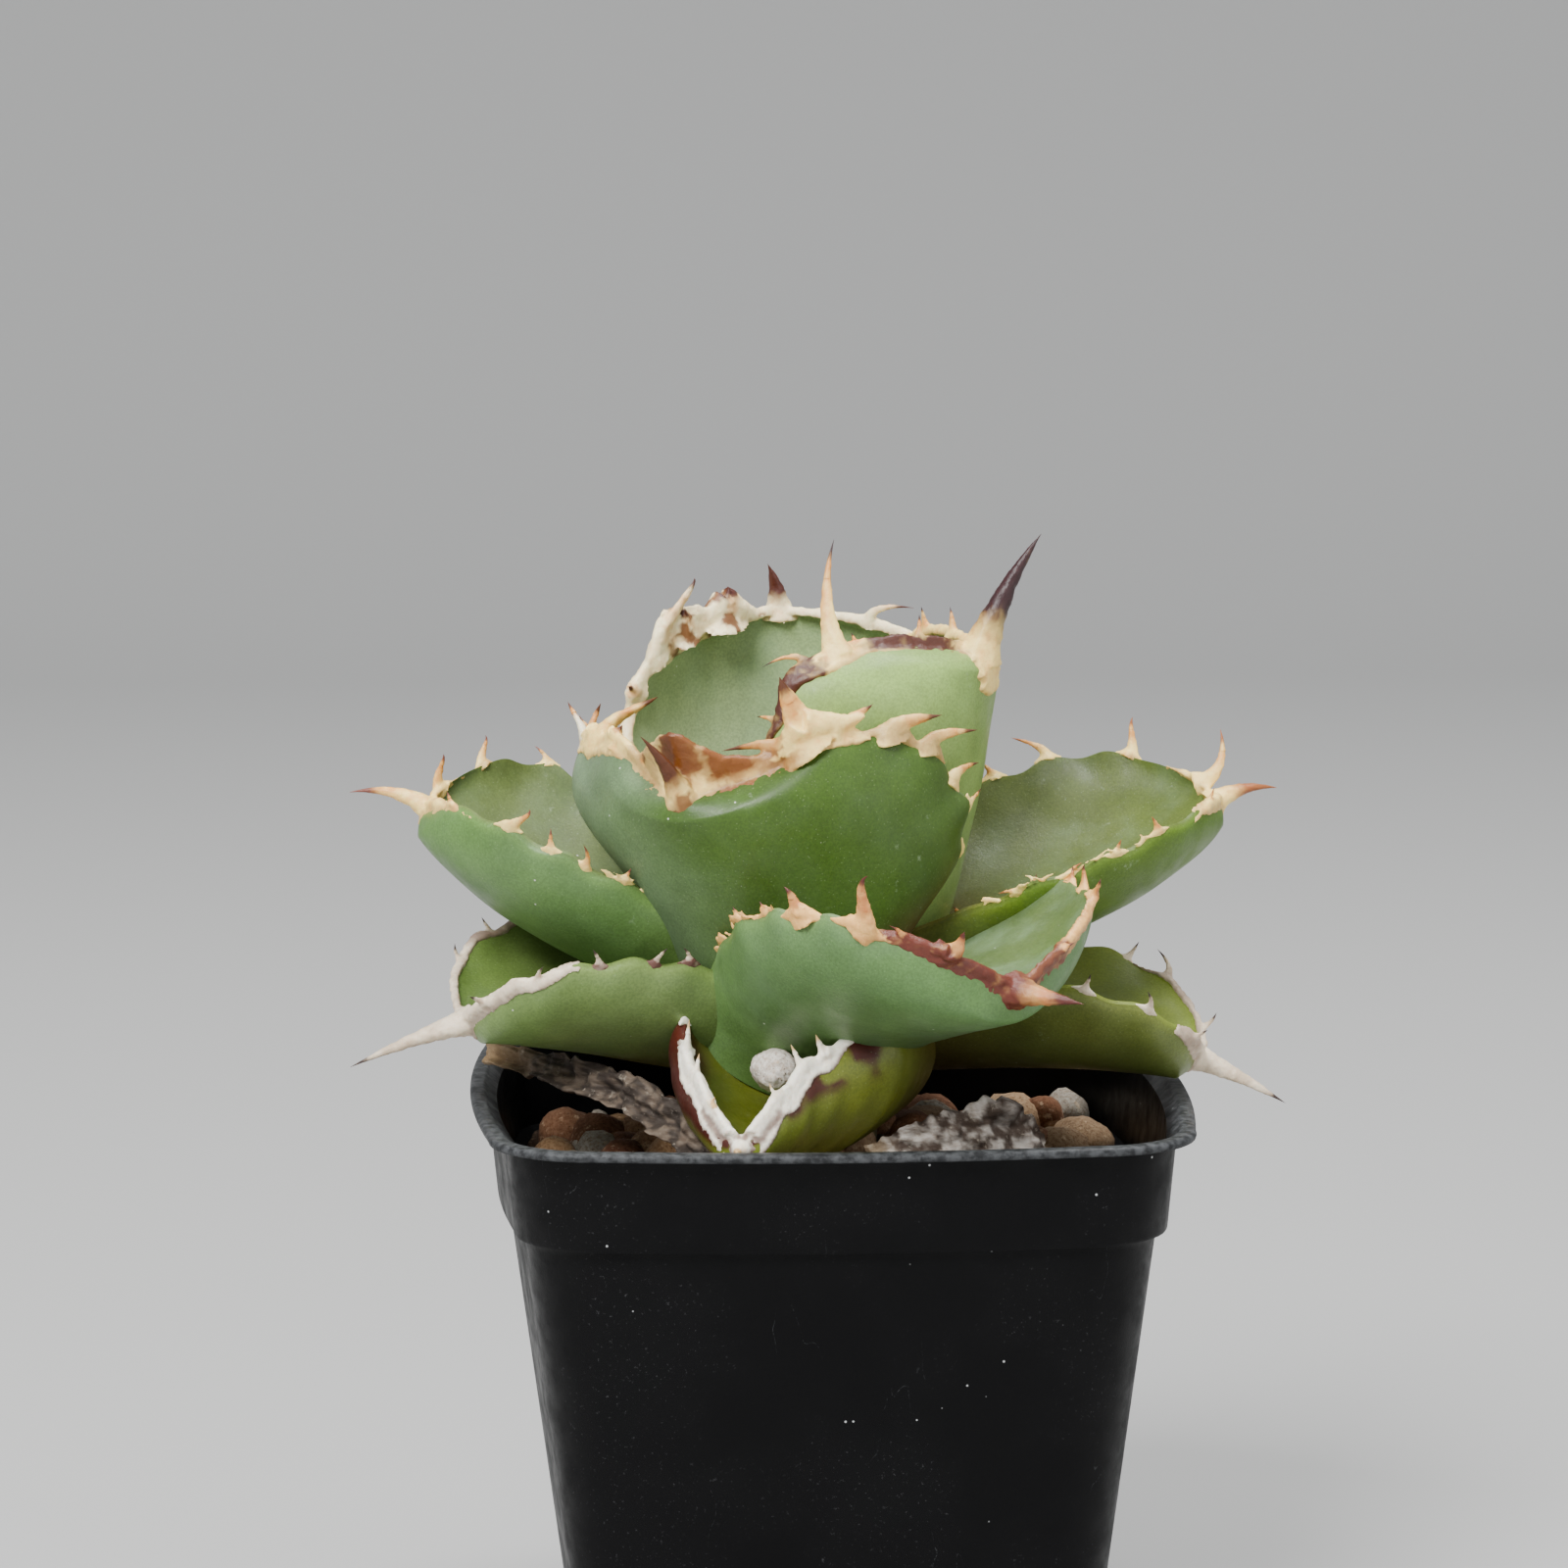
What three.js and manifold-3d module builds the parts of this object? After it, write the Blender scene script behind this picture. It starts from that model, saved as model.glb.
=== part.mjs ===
// A potted agave: a small rosette of thick horn-edged leaves in a square black nursery pot.
// Millimetres, +Z up. The pot stands on z = 0 with its middle on the z axis; its front faces -Y.
import * as THREE from 'three';
import Module from 'manifold-3d';

// Sizes of the pot
const POT_HEIGHT = 80;
const RIM_HALF = 45;            // half the width over the lip where a side meets its corners
const LIP_WIDTH = 2.1;
const LIP_THICK = 1.2;
const BAND_HEIGHT = 13.5;       // the plain band under the lip
const BAND_TOP_HALF = 42.7;
const BAND_FOOT_HALF = 41.7;
const BODY_TOP_HALF = 40.4;
const BASE_HALF = 32.3;
const WALL = 1.2;
const FLOOR = 1.6;
const RIM_CORNER = 13;
const BASE_CORNER = 8;
const SIDE_BOW = 2.2;           // how far the middle of a side bows out from there
const DRAIN_RADIUS = 4.2;
const DRAIN_OFFSET = 19;
const DRAIN_SIDES = 10;
const CORNER_STEPS = 4;         // faces round one corner of the pot
const SIDE_STEPS = 4;           // faces along one side

// Soil and the plant's foot
const SOIL_LEVEL = 68.5;        // between the stones
const STONE_RADIUS = 4.6;
const STONE_RISE = 3.4;
const STONE_COUNT = 110;
const SOIL_RINGS = 13;
const MOUND_RISE = 6;           // the soil is heaped a little against the plant
const MOUND_WIDTH = 20;
const CLEARANCE = 0.3;          // left between pieces that touch on the real plant
const SLIVER = 0.05;            // faces smaller than this that a cut leaves are smoothed away
const AXIS_X = -2;              // the plant stands a little left of the middle
const STEM_PROFILE = [[5, 52], [7.5, 57], [8.5, 70], [9, 80], [8.6, 90], [6.6, 96], [4.6, 99.5]];
const STEM_SIDES = 12;
const BUD_PROFILE = [[4.3, 99.9], [4.9, 103], [4.6, 108], [3.4, 114], [1.7, 119], [0.6, 122.5]];

// Horn on the leaf edges
const OWN_CLEARANCE = 0.16;     // between a leaf and its own horn
const HORN_GAP = 0.45;          // leaf edge to horn
const EDGE_THICK = 1.0;         // thickness of a leaf at its very edge
const LONG_TOOTH = 3.3;         // teeth longer than this stand on the strip as spikes of their own
const LOWEST_HORN = 0.76;       // the horn ends this far down an edge, as a share of its length
const TOOTH_SPACING = 8.6;      // where no tooth of its own is listed

// Colours read off the photo by eye
const COLOUR = {
  pot: 0x1c1c1f, soil: 0x8c6a4a, stem: 0x8a7c58, bud: 0x8fa37c,
  dead: 0x6d5f50, stump: 0x8d8074, pumice: 0xe6e1d8,
};

// Each leaf: direction it grows in (degrees, 0 = right, -90 = to the front); the middle of its upper
// face as four points (distance from the stem's axis, height); half width; where it is widest; how it
// is cupped at base, middle and tip; thickness; roll; how much either half is drawn in at the top
// (narrow) or along its middle (waist) and rises beside the tip (lobe); terminal spine [out, side, up];
// and the teeth that can be told apart, each [edge, mm from the tip, out, towards the tip, up, width of
// its foot].
const LEAVES = [
  { name: 'L3', az: -16, line: [[5, 90], [13, 99], [17, 122], [21.6, 138]],
    w: 20, wb: 0.45, tm: 0.76, tq: 0.4, cup: [0.8, 0.85, 0.85], th: 5, roll: [-8, -8],
    spine: [16.6, 3.5, -2.4], root: 3.2, horn: [1.7, 2.4], colour: 0x7d9c6d, hornColour: 0xc9a478,
    teeth: [[-1, 20.5, 13.5, 5, 2, 3.8], [-1, 24.5, 2.5, -6, 1.5], [-1, 17.5, 1.8, -0.5, 0.5],
      [-1, 33, 2.6, -1, 1], [-1, 41, 2.6, 1, 1]] },
  { name: 'L2', az: 98, line: [[5, 90], [14, 97], [24, 118], [22, 140]],
    w: 22.5, wb: 0.45, tm: 0.75, tq: 0.32, cup: [0.7, 0.6, 0.55], th: 6,
    spine: [6.6, 1.8, 1], root: 2.8, horn: [1.6, 2.6], colour: 0x87a082, hornColour: 0xd9bf98,
    teeth: [[-1, 12, 3.5, -6, 0, 2.6], [1, 15.5, 5.8, -2.5, 2, 4], [1, 9, 4.6, 0, 0.8, 8],
      [1, 20, 3.6, 0.4, 0.5, 2.6], [1, 27, 3.2, 0.5, 0.2, 2]] },
  { name: 'L1', az: -125, line: [[6, 90], [14, 93], [22, 107], [31, 122.3]],
    w: 29.5, wb: 0.3, tm: 0.75, tq: 0.54, cup: [0.8, 0.8, 0.62], th: 6, roll: [0, 3],
    narrow: [0, 0.17], waist: [0.38, 0], lobe: [3, 4.2],
    spine: [10.5, -1.8, -1.5], root: 2.6, horn: [2, 2.8], colour: 0x466b3a, hornColour: 0xd8b78c,
    teeth: [[-1, 27, 4, 1, 7, 4], [-1, 31, 2.4, 0, 0.2, 3.4], [-1, 33.5, 4.8, -0.5, -2, 2.4],
      [-1, 37.5, 3.6, 0, -2.2, 2.2], [1, 17.3, 9, -1.5, 2.4, 5.6], [1, 14.8, 3.4, 6.5, 3.4, 3],
      [1, 20.8, 3, -5, 0.6, 3], [1, 28.8, 4, -4.5, -1, 2.8], [1, 34, 5, -4.5, -1.5, 2.6],
      [1, 40.5, 5, -1, 0, 2.2], [1, 45, 3.4, 0.5, 1, 2], [-1, 16, 1.8, 1, 1, 4]] },
  { name: 'L5', az: 6, line: [[6, 96], [22, 103], [42, 108], [54, 117]],
    w: 18, wb: 0.6, tm: 0.55, tq: 0.55, cup: [0.6, 0.5, 0.5], th: 5.5, roll: [12, 12],
    spine: [7.4, 0, -4], root: 2.4, horn: [1.2, 1.8], colour: 0x7f9166, hornColour: 0xd2b48a,
    teeth: [[1, 3.5, 7.2, -2.5, 1.5, 2.8], [1, 15, 4.7, -1.5, 1.3, 2.6], [1, 26.5, 3.5, -4, 1, 2.2],
      [-1, 22, 2, -0.8, 1.3], [-1, 29, 1.8, 0.5, 0.7], [-1, 36, 1, 2.2, 0.5], [-1, 43, 1, -2, 0.5],
      [-1, 9, 1.6, 0.3, 1]] },
  { name: 'L4', az: 178, line: [[6, 96], [22, 102], [40, 109], [50, 117.5]],
    w: 18, wb: 0.6, tm: 0.6, tq: 0.5, cup: [0.6, 0.5, 0.5], th: 8, roll: [-8, -8],
    spine: [8.8, 0, -5.2], root: 2.3, horn: [1.2, 1.8], colour: 0x648c5a, hornColour: 0xcdb38c,
    teeth: [[-1, 4, 3, -2, 4.5, 2.2], [-1, 13, 3, -1.8, 2, 2], [-1, 23.5, 2, 1.9, 0.3],
      [1, 21.5, 3, -3, 1.2, 2], [1, 28, 2.6, 0.2, 1.2], [1, 33, 2.6, 2.5, 0.3],
      [1, 38.5, 1.6, 0.2, 0.8], [1, 45, 1.3, 1.3, 0.5], [1, 10, 1.4, 0, 0.8]] },
  { name: 'L6', az: -62, line: [[5, 87], [17, 100], [38, 100.5], [49, 100.5]],
    w: 22, wb: 0.62, tm: 0.56, tq: 0.5, foot: -6, cup: [0.5, 0.45, 0.5], th: 9.5,
    spine: [8.4, 3, -0.8], root: 3.2, horn: [1.6, 2.4], colour: 0x55855a, hornColour: 0xa9806a,
    teeth: [[1, 26, 2.5, 0, 2.3, 2.2], [1, 21.5, 2.6, 0.1, 2, 2.2], [1, 31, 1.5, -0.3, 1.1],
      [1, 39, 1.6, 0, 0.8], [-1, 12, 4, -1, 2.5, 2.8], [-1, 17.5, 1.4, -2.2, 0.2],
      [-1, 23, 7, -1.5, 2.9, 3.6], [-1, 31.5, 4.5, -1.3, 0.8, 3.2], [-1, 39, 1.3, 0, 0.7],
      [-1, 46, 1.3, 0, 0.6]] },
  { name: 'R1', az: 78, line: [[6, 92], [20, 97], [36, 100], [48, 102]],
    w: 19, wb: 0.8, tm: 0.6, tq: 0.5, cup: [0.5, 0.5, 0.5], th: 7,
    spine: [10, 0, -1], root: 2.6, horn: [1.4, 2], colour: 0x5d8552, hornColour: 0xb08d74,
    teeth: [] },
  { name: 'L7', az: -166, line: [[6, 88], [20, 92], [36, 94], [47, 91.5]],
    w: 17, wb: 0.8, tm: 0.6, tq: 0.5, cup: [0.5, 0.5, 0.4], th: 7,
    spine: [15.7, -2, -2], root: 2.6, horn: [1.8, 2.2], colour: 0x4b6e3c, hornColour: 0xcfc5b6,
    teeth: [[1, 18, 2, -2, 0.5], [1, 26.5, 2.5, 1, 0.5], [1, 34, 2.4, -0.7, 0.7],
      [1, 39, 1.5, 1.7, 0.9], [1, 44.5, 1.4, 2, 0.5], [-1, 13, 1.4, -1.2, 2.4],
      [-1, 20, 2.2, 0.5, 1]] },
  { name: 'L8', az: -8, line: [[6, 90], [20, 92], [36, 91], [51, 85]],
    w: 17, wb: 0.7, tm: 0.6, tq: 0.5, cup: [0.5, 0.4, 0.4], th: 8,
    spine: [12.8, 0, -1.2], root: 2.6, horn: [1.7, 2.2], colour: 0x5f7328, hornColour: 0xd0c7b8,
    teeth: [[-1, 19, 2.5, -2.5, 0.5], [-1, 28, 2.2, 0, 1.1], [-1, 9, 2, -1, 1],
      [1, 16.5, 2, -4, 1.5, 2.2], [1, 23, 2.4, -0.3, 1.3], [1, 6, 1.5, -1, 3]] },
  { name: 'R2', az: 132, line: [[6, 88], [20, 91], [36, 91], [48, 88]],
    w: 18, wb: 0.7, tm: 0.6, tq: 0.5, cup: [0.5, 0.45, 0.4], th: 7,
    spine: [11, 0, -1], root: 2.6, horn: [1.6, 2.2], colour: 0x597638, hornColour: 0xcdbfab,
    teeth: [] },
  { name: 'L9', az: -110, line: [[6, 81], [20, 79], [32, 78.5], [42.5, 80.5]],
    w: 13, wb: 0.9, tm: 0.42, tp: 1.5, tq: 0.75, cup: [0.9, 0.98, 0.95], th: 6, narrow: [0, 0.42],
    vee: 0.6, foot: 5, shift: 3.4, spine: [2.2, 0, -0.6], root: 2.4, horn: [2.3, 2.4],
    colour: 0x788723, hornColour: 0xf0e8dc,
    teeth: [[-1, 13, 2.2, -2, 1.5, 2.6], [-1, 17.5, 3.4, -2.5, 1.5, 3], [-1, 7, 1.4, 0, 1],
      [1, 13, 2.2, -2, 2.5, 3], [1, 17, 3.2, -1, 1.5, 3.4], [1, 21, 2.4, -3.6, 2.8, 2.6],
      [1, 7, 1.8, -1, 1.5]] },
  { name: 'R3', az: 40, line: [[6, 84], [18, 86], [30, 87], [40, 86]],
    w: 14, wb: 0.8, tm: 0.6, tq: 0.5, cup: [0.5, 0.5, 0.5], th: 5,
    spine: [8, 0, -1], root: 2.2, horn: [1.5, 2], colour: 0x6d7a34, hornColour: 0xd6cab6,
    teeth: [] },
];
// the youngest leaf stands against the bud, inside the others
const YOUNG_LEAF = { name: 'L0', az: -160, line: [[4, 92], [8, 98], [13, 110], [15, 120]],
  w: 14, wb: 0.5, tm: 0.7, tq: 0.45, cup: [0.8, 0.8, 0.6], th: 4,
  spine: [3, 0, 0.5], root: 1.6, horn: [1.2, 1.6], colour: 0x8fa37c, hornColour: 0xd2b48a,
  teeth: [] };

// a leaf's shape where its own line doesn't say otherwise: how fast it narrows towards the tip
const TIP_POWER = 2.2;
const TIP_ROUND = 0.62;

// where along the leaf a half that is drawn in at the top narrows, and where a waist starts and ends
const NARROWING = [0.3, 0.8];
const WAIST_START = [0.05, 0.3];
const WAIST_END = [0.6, 0.92];
// where the lobe of either half rises and where it falls away to the tip
const LOBE_RISE = [[0.93, 0.98], [0.78, 0.92]];
const LOBE_FALL = [[1, 0.98], [1, 0.94]];

// rows of faces along a blade below and above its widest place, and the share of its width that is
// left at the tip; points across it
const BLADE_ROWS = [5, 6, 0.09];
const BLADE_ACROSS = 7;
const EDGE_ROWS = [24, 26, 0];  // the same for the line that the horn follows

// Dried leaves at the front of the pot: [x, y, z, half width, twist in degrees] from end to end
const DEAD_LEFT = [[-45, 5, 83.4, 1.6, 50], [-35, -8, 83.4, 2.6, 65], [-27, -18, 82.6, 2.8, 75],
  [-20, -27, 79.4, 2.8, 70], [-15, -32, 75.2, 1.6, 60]];
const DEAD_RIGHT = [[4, -27, 73.6, 2.6, 60], [9, -28, 75.2, 4, 70], [15, -29, 76.6, 5.4, 75],
  [20.5, -28.5, 77.2, 6, 80], [25.5, -27, 74.4, 3, 60]];
const DEAD_THICK = [1.1, 1.2];
const DEAD_CRUMPLE = [0.7, 1];
const PUMICE = [-8.4, -25, 86.6, 3.3];  // x, y, z and radius of the stone that lies in the lowest leaf

const wasm = await Module();
wasm.setup();

// Small vector helpers
const add = (a, b) => [a[0] + b[0], a[1] + b[1], a[2] + b[2]];
const sub = (a, b) => [a[0] - b[0], a[1] - b[1], a[2] - b[2]];
const scale = (a, k) => [a[0] * k, a[1] * k, a[2] * k];
const dot = (a, b) => a[0] * b[0] + a[1] * b[1] + a[2] * b[2];
const cross = (a, b) => [a[1] * b[2] - a[2] * b[1], a[2] * b[0] - a[0] * b[2], a[0] * b[1] - a[1] * b[0]];
const size = (a) => Math.hypot(a[0], a[1], a[2]);
const unit = (a) => scale(a, 1 / (size(a) || 1));
const mix = (a, b, k) => a + (b - a) * k;
const radians = (d) => d * Math.PI / 180;
// rises smoothly from 0 to 1 between two values
const eased = (x, [from, to]) => {
  const k = Math.min(Math.max((x - from) / (to - from), 0), 1);
  return k * k * (3 - 2 * k);
};
const offset = (p, ...steps) => steps.reduce((sum, [dir, k]) => add(sum, scale(dir, k)), p);
// a repeatable number from 0 to 1 for any two numbers
const hash = (a, b = 0) => {
  const v = Math.sin(a * 127.1 + b * 311.7 + 17.3) * 43758.5453;
  return v - Math.floor(v);
};

function facingOut(points, faces) {
  let volume = 0;
  for (const [a, b, c] of faces) volume += dot(points[a], cross(points[b], points[c]));
  return volume < 0 ? faces.map(([a, b, c]) => [a, c, b]) : faces;
}

function closedBody(points, faces) {
  return new wasm.Manifold(new wasm.Mesh({
    numProp: 3,
    vertProperties: Float32Array.from(points.flat()),
    triVerts: Uint32Array.from(facingOut(points, faces).flat()),
  }));
}

// moves every point out so that each face around it moves out by the same distance
function swell(points, faces, grow) {
  const around = points.map(() => []);
  for (const [a, b, c] of facingOut(points, faces)) {
    const n = cross(sub(points[b], points[a]), sub(points[c], points[a]));
    if (size(n) < 1e-9) continue;
    for (const k of [a, b, c]) around[k].push(unit(n));
  }
  return points.map((p, i) => {
    const n = unit(around[i].reduce(add, [0, 0, 0]));
    const least = Math.min(...around[i].map((f) => dot(f, n)));
    return offset(p, [n, grow / Math.max(least, 0.5)]);
  });
}

// a body through a row of rings with the same number of points, closed flat at both ends
function loft(rings) {
  const n = rings[0].length;
  const faces = [];
  for (let i = 0; i + 1 < rings.length; i++) {
    for (let j = 0; j < n; j++) {
      const a = i * n + j;
      const b = i * n + (j + 1) % n;
      faces.push([a, b, b + n], [a, b + n, a + n]);
    }
  }
  const last = (rings.length - 1) * n;
  for (let j = 1; j + 1 < n; j++) faces.push([0, j + 1, j], [last, last + j, last + j + 1]);
  return closedBody(rings.flat(), faces);
}

function turned(profile, sides) {
  const rings = profile.map(([r, z]) => Array.from({ length: sides }, (_, j) => {
    const a = 2 * Math.PI * j / sides;
    return [AXIS_X + r * Math.cos(a), r * Math.sin(a), z];
  }));
  return loft(rings);
}

function largestPiece(body) {
  const pieces = body.simplify(SLIVER).decompose();
  return pieces.reduce((best, p) => (p.volume() > best.volume() ? p : best), pieces[0]);
}

const boxesMeet = (a, b) => {
  const p = a.boundingBox();
  const q = b.boundingBox();
  return [0, 1, 2].every((k) => p.min[k] <= q.max[k] && q.min[k] <= p.max[k]);
};

const cutBy = (body, cutters) => (
  cutters.reduce((left, c) => (boxesMeet(left, c) ? left.subtract(c) : left), body));

// Leaves
function bezier(p, t) {
  const u = 1 - t;
  const weights = [u ** 3, 3 * u * u * t, 3 * u * t * t, t ** 3];
  return [0, 1].map((k) => weights.reduce((sum, w, i) => sum + w * p[i][k], 0));
}

function halfWidth(leaf, t) {
  const u = Math.min(t / leaf.tm, 1);
  const rise = leaf.wb + (1 - leaf.wb) * (0.5 - 0.5 * Math.cos(Math.PI * u));
  const v = Math.max((t - leaf.tm) / (1 - leaf.tm), 0);
  return leaf.w * rise * (1 - v ** (leaf.tp ?? TIP_POWER)) ** (leaf.tq ?? TIP_ROUND);
}

// where the leaf's rows lie: even up to its widest place, then closer and closer to the blunt tip
function leafRows(leaf, lower, upper, narrowest) {
  const rows = Array.from({ length: lower }, (_, i) => leaf.tm * i / lower);
  for (let j = 0; j <= upper; j++) {
    const share = Math.max(Math.cos(Math.PI / 2 * j / upper), narrowest);
    const v = (1 - share ** (1 / (leaf.tq ?? TIP_ROUND))) ** (1 / (leaf.tp ?? TIP_POWER));
    rows.push(leaf.tm + (1 - leaf.tm) * v);
  }
  return rows;
}

// middle of the upper face, the direction of growth, across, and up out of the upper face
function leafFrame(leaf, t) {
  const R = [Math.cos(radians(leaf.az)), Math.sin(radians(leaf.az)), 0];
  const S = [-R[1], R[0], 0];
  const shift = leaf.shift ?? 0;
  const foot = leaf.foot ?? 0;
  const place = (x) => {
    const [r, z] = bezier(leaf.line, x);
    return offset([AXIS_X, 0, z], [R, r], [S, shift * x * x + foot * (1 - x)]);
  };
  const step = 1e-3;
  const T = unit(sub(place(Math.min(t + step, 1)), place(Math.max(t - step, 0))));
  const flat = unit(cross(T, cross(S, T)));
  const normal = cross(T, flat);
  const [roll0, roll1] = leaf.roll ?? [0, 0];
  const roll = radians(mix(roll0, roll1, t));
  return {
    C: place(t), T,
    B: add(scale(flat, Math.cos(roll)), scale(normal, Math.sin(roll))),
    N: add(scale(flat, -Math.sin(roll)), scale(normal, Math.cos(roll))),
  };
}

// a point of the upper face: s runs from -1 to 1 across; returns it with the face's outward normal
function upperPoint(leaf, t, s, f) {
  const [c0, c1, c2] = leaf.cup;
  const cup = Math.max(c0 * (1 - t) * (1 - 2 * t) + 4 * c1 * t * (1 - t) + c2 * t * (2 * t - 1), 0.001);
  const angle = 2 * Math.atan(cup);
  const w = halfWidth(leaf, t);
  const rho = angle < Math.PI / 2 ? w / Math.sin(angle) : w;
  const vee = leaf.vee ?? 0;
  const half = s < 0 ? 0 : 1;
  const narrower = (leaf.narrow ?? [0, 0])[half] * eased(t, NARROWING);
  const waist = (leaf.waist ?? [0, 0])[half] * eased(t, WAIST_START) * (1 - eased(t, WAIST_END));
  const x = rho * Math.sin(s * angle) * (1 - narrower) * (1 - waist);
  const z = rho * (1 - Math.cos(s * angle)) * (1 - vee) + cup * w * Math.abs(s) * vee;
  const lobe = (leaf.lobe ?? [0, 0])[half] * eased(t, LOBE_RISE[half]) * eased(t, LOBE_FALL[half]);
  const normal = add(scale(f.B, -Math.sin(s * angle)), scale(f.N, Math.cos(s * angle)));
  return { P: offset(f.C, [f.B, x], [f.N, z], [f.T, lobe * s * s]), normal };
}

function thickness(leaf, t, s) {
  const along = (1 - 0.62 * t * t) * Math.min(1, 0.25 + 6 * (1 - t) ** 0.6);
  return leaf.th * along * Math.max(1 - s * s, 0) ** 0.75 + EDGE_THICK;
}

// the green blade; grow swells it evenly, for cutting its neighbours back to a clearance
function blade(leaf, grow = 0) {
  const rows = leafRows(leaf, ...BLADE_ROWS);
  const across = BLADE_ACROSS;
  const points = [];
  rows.forEach((t) => {
    const f = leafFrame(leaf, t);
    const top = [];
    const under = [];
    for (let j = 0; j < across; j++) {
      const s = Math.sin(Math.PI / 2 * (2 * j / (across - 1) - 1));
      const { P, normal } = upperPoint(leaf, t, s, f);
      top.push(P);
      under.push(offset(P, [normal, -thickness(leaf, t, s)]));
    }
    points.push(...top, ...under);
  });
  const n = 2 * across;
  const faces = [];
  const quad = (a, b, c, d) => faces.push([a, b, c], [a, c, d]);
  for (let i = 0; i + 1 < rows.length; i++) {
    const p = i * n;
    const q = p + n;
    for (let j = 0; j + 1 < across; j++) {
      quad(p + j, p + j + 1, q + j + 1, q + j);
      quad(p + across + j + 1, p + across + j, q + across + j, q + across + j + 1);
    }
    quad(p + across, p, q, q + across);
    quad(p + across - 1, p + n - 1, q + n - 1, q + across - 1);
  }
  const last = (rows.length - 1) * n;
  for (let j = 0; j + 1 < across; j++) {
    quad(j + 1, j, across + j, across + j + 1);
    quad(last + j, last + j + 1, last + across + j + 1, last + across + j);
  }
  return closedBody(grow ? swell(points, faces, grow) : points, faces);
}

// one edge of a leaf from foot to tip: points with the direction to the tip, out, up, and the
// distance still to go to the tip
function edgePath(leaf, side, counts = EDGE_ROWS) {
  const rows = leafRows(leaf, ...counts);
  const path = rows.map((t) => {
    const { P, normal } = upperPoint(leaf, t, side, leafFrame(leaf, t));
    return { P: offset(P, [normal, -EDGE_THICK / 2]), up: normal };
  });
  path.forEach((p, i) => {
    const before = path[Math.max(i - 1, 0)].P;
    const after = path[Math.min(i + 1, path.length - 1)].P;
    p.tau = unit(sub(after, before));
    p.out = unit(scale(cross(p.up, p.tau), side));
  });
  let togo = 0;
  for (let i = path.length - 1; i >= 0; i--) {
    if (i < path.length - 1) togo += size(sub(path[i + 1].P, path[i].P));
    path[i].togo = togo;
  }
  return path;
}

// distances to the tip of the blade's own rows, so that the strip bends where the blade does
function rowDistances(leaf, side) {
  const path = edgePath(leaf, side, BLADE_ROWS);
  return path.map((p) => p.togo);
}

function edgeAt(path, togo) {
  let i = path.length - 2;
  while (i > 0 && path[i].togo < togo) i--;
  const a = path[i];
  const b = path[i + 1];
  const k = Math.min(Math.max((a.togo - togo) / (a.togo - b.togo), 0), 1);
  const blend = (key) => add(scale(a[key], 1 - k), scale(b[key], k));
  return { P: blend('P'), tau: unit(blend('tau')), out: unit(blend('out')), up: unit(blend('up')) };
}

// a bent, tapering spike through three points
function spike(root, first, tip, radius, sides, steps, end = 0.16) {
  const lean = unit(sub(tip, root));
  const side = unit(cross(lean, Math.abs(lean[2]) < 0.8 ? [0, 0, 1] : [0, 1, 0]));
  const other = cross(lean, side);
  const rings = [];
  for (let i = 0; i <= steps; i++) {
    const u = i / steps;
    const at = offset([0, 0, 0], [root, (1 - u) ** 2], [first, 2 * u * (1 - u)], [tip, u * u]);
    const r = mix(radius, end, u ** 0.85);
    rings.push(Array.from({ length: sides }, (_, j) => {
      const a = 2 * Math.PI * j / sides;
      return offset(at, [side, r * Math.cos(a)], [other, r * Math.sin(a)]);
    }));
  }
  return loft(rings);
}

// the teeth of one edge: those listed for the leaf, and plain ones to fill the bare stretches
function teethOf(leaf, side, length) {
  const own = leaf.teeth.filter((t) => t[0] === side);
  const teeth = own.map(([, togo, out, along, up, foot = 2]) => ({ togo, out, along, up, foot }));
  for (let togo = TOOTH_SPACING; togo < length - 2; togo += TOOTH_SPACING) {
    if (own.some((t) => Math.abs(t[1] - togo) < 0.7 * TOOTH_SPACING)) continue;
    const h = hash(togo + side * 3, leaf.az);
    const g = hash(togo * 1.7 + side, leaf.az + 5);
    const out = (1.8 + 2.2 * h) * mix(1, 0.6, togo / length);
    teeth.push({ togo, out, along: 2.4 * (g - 0.6), up: 0.5 + 0.6 * h, foot: 2.4 });
  }
  return teeth;
}

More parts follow.
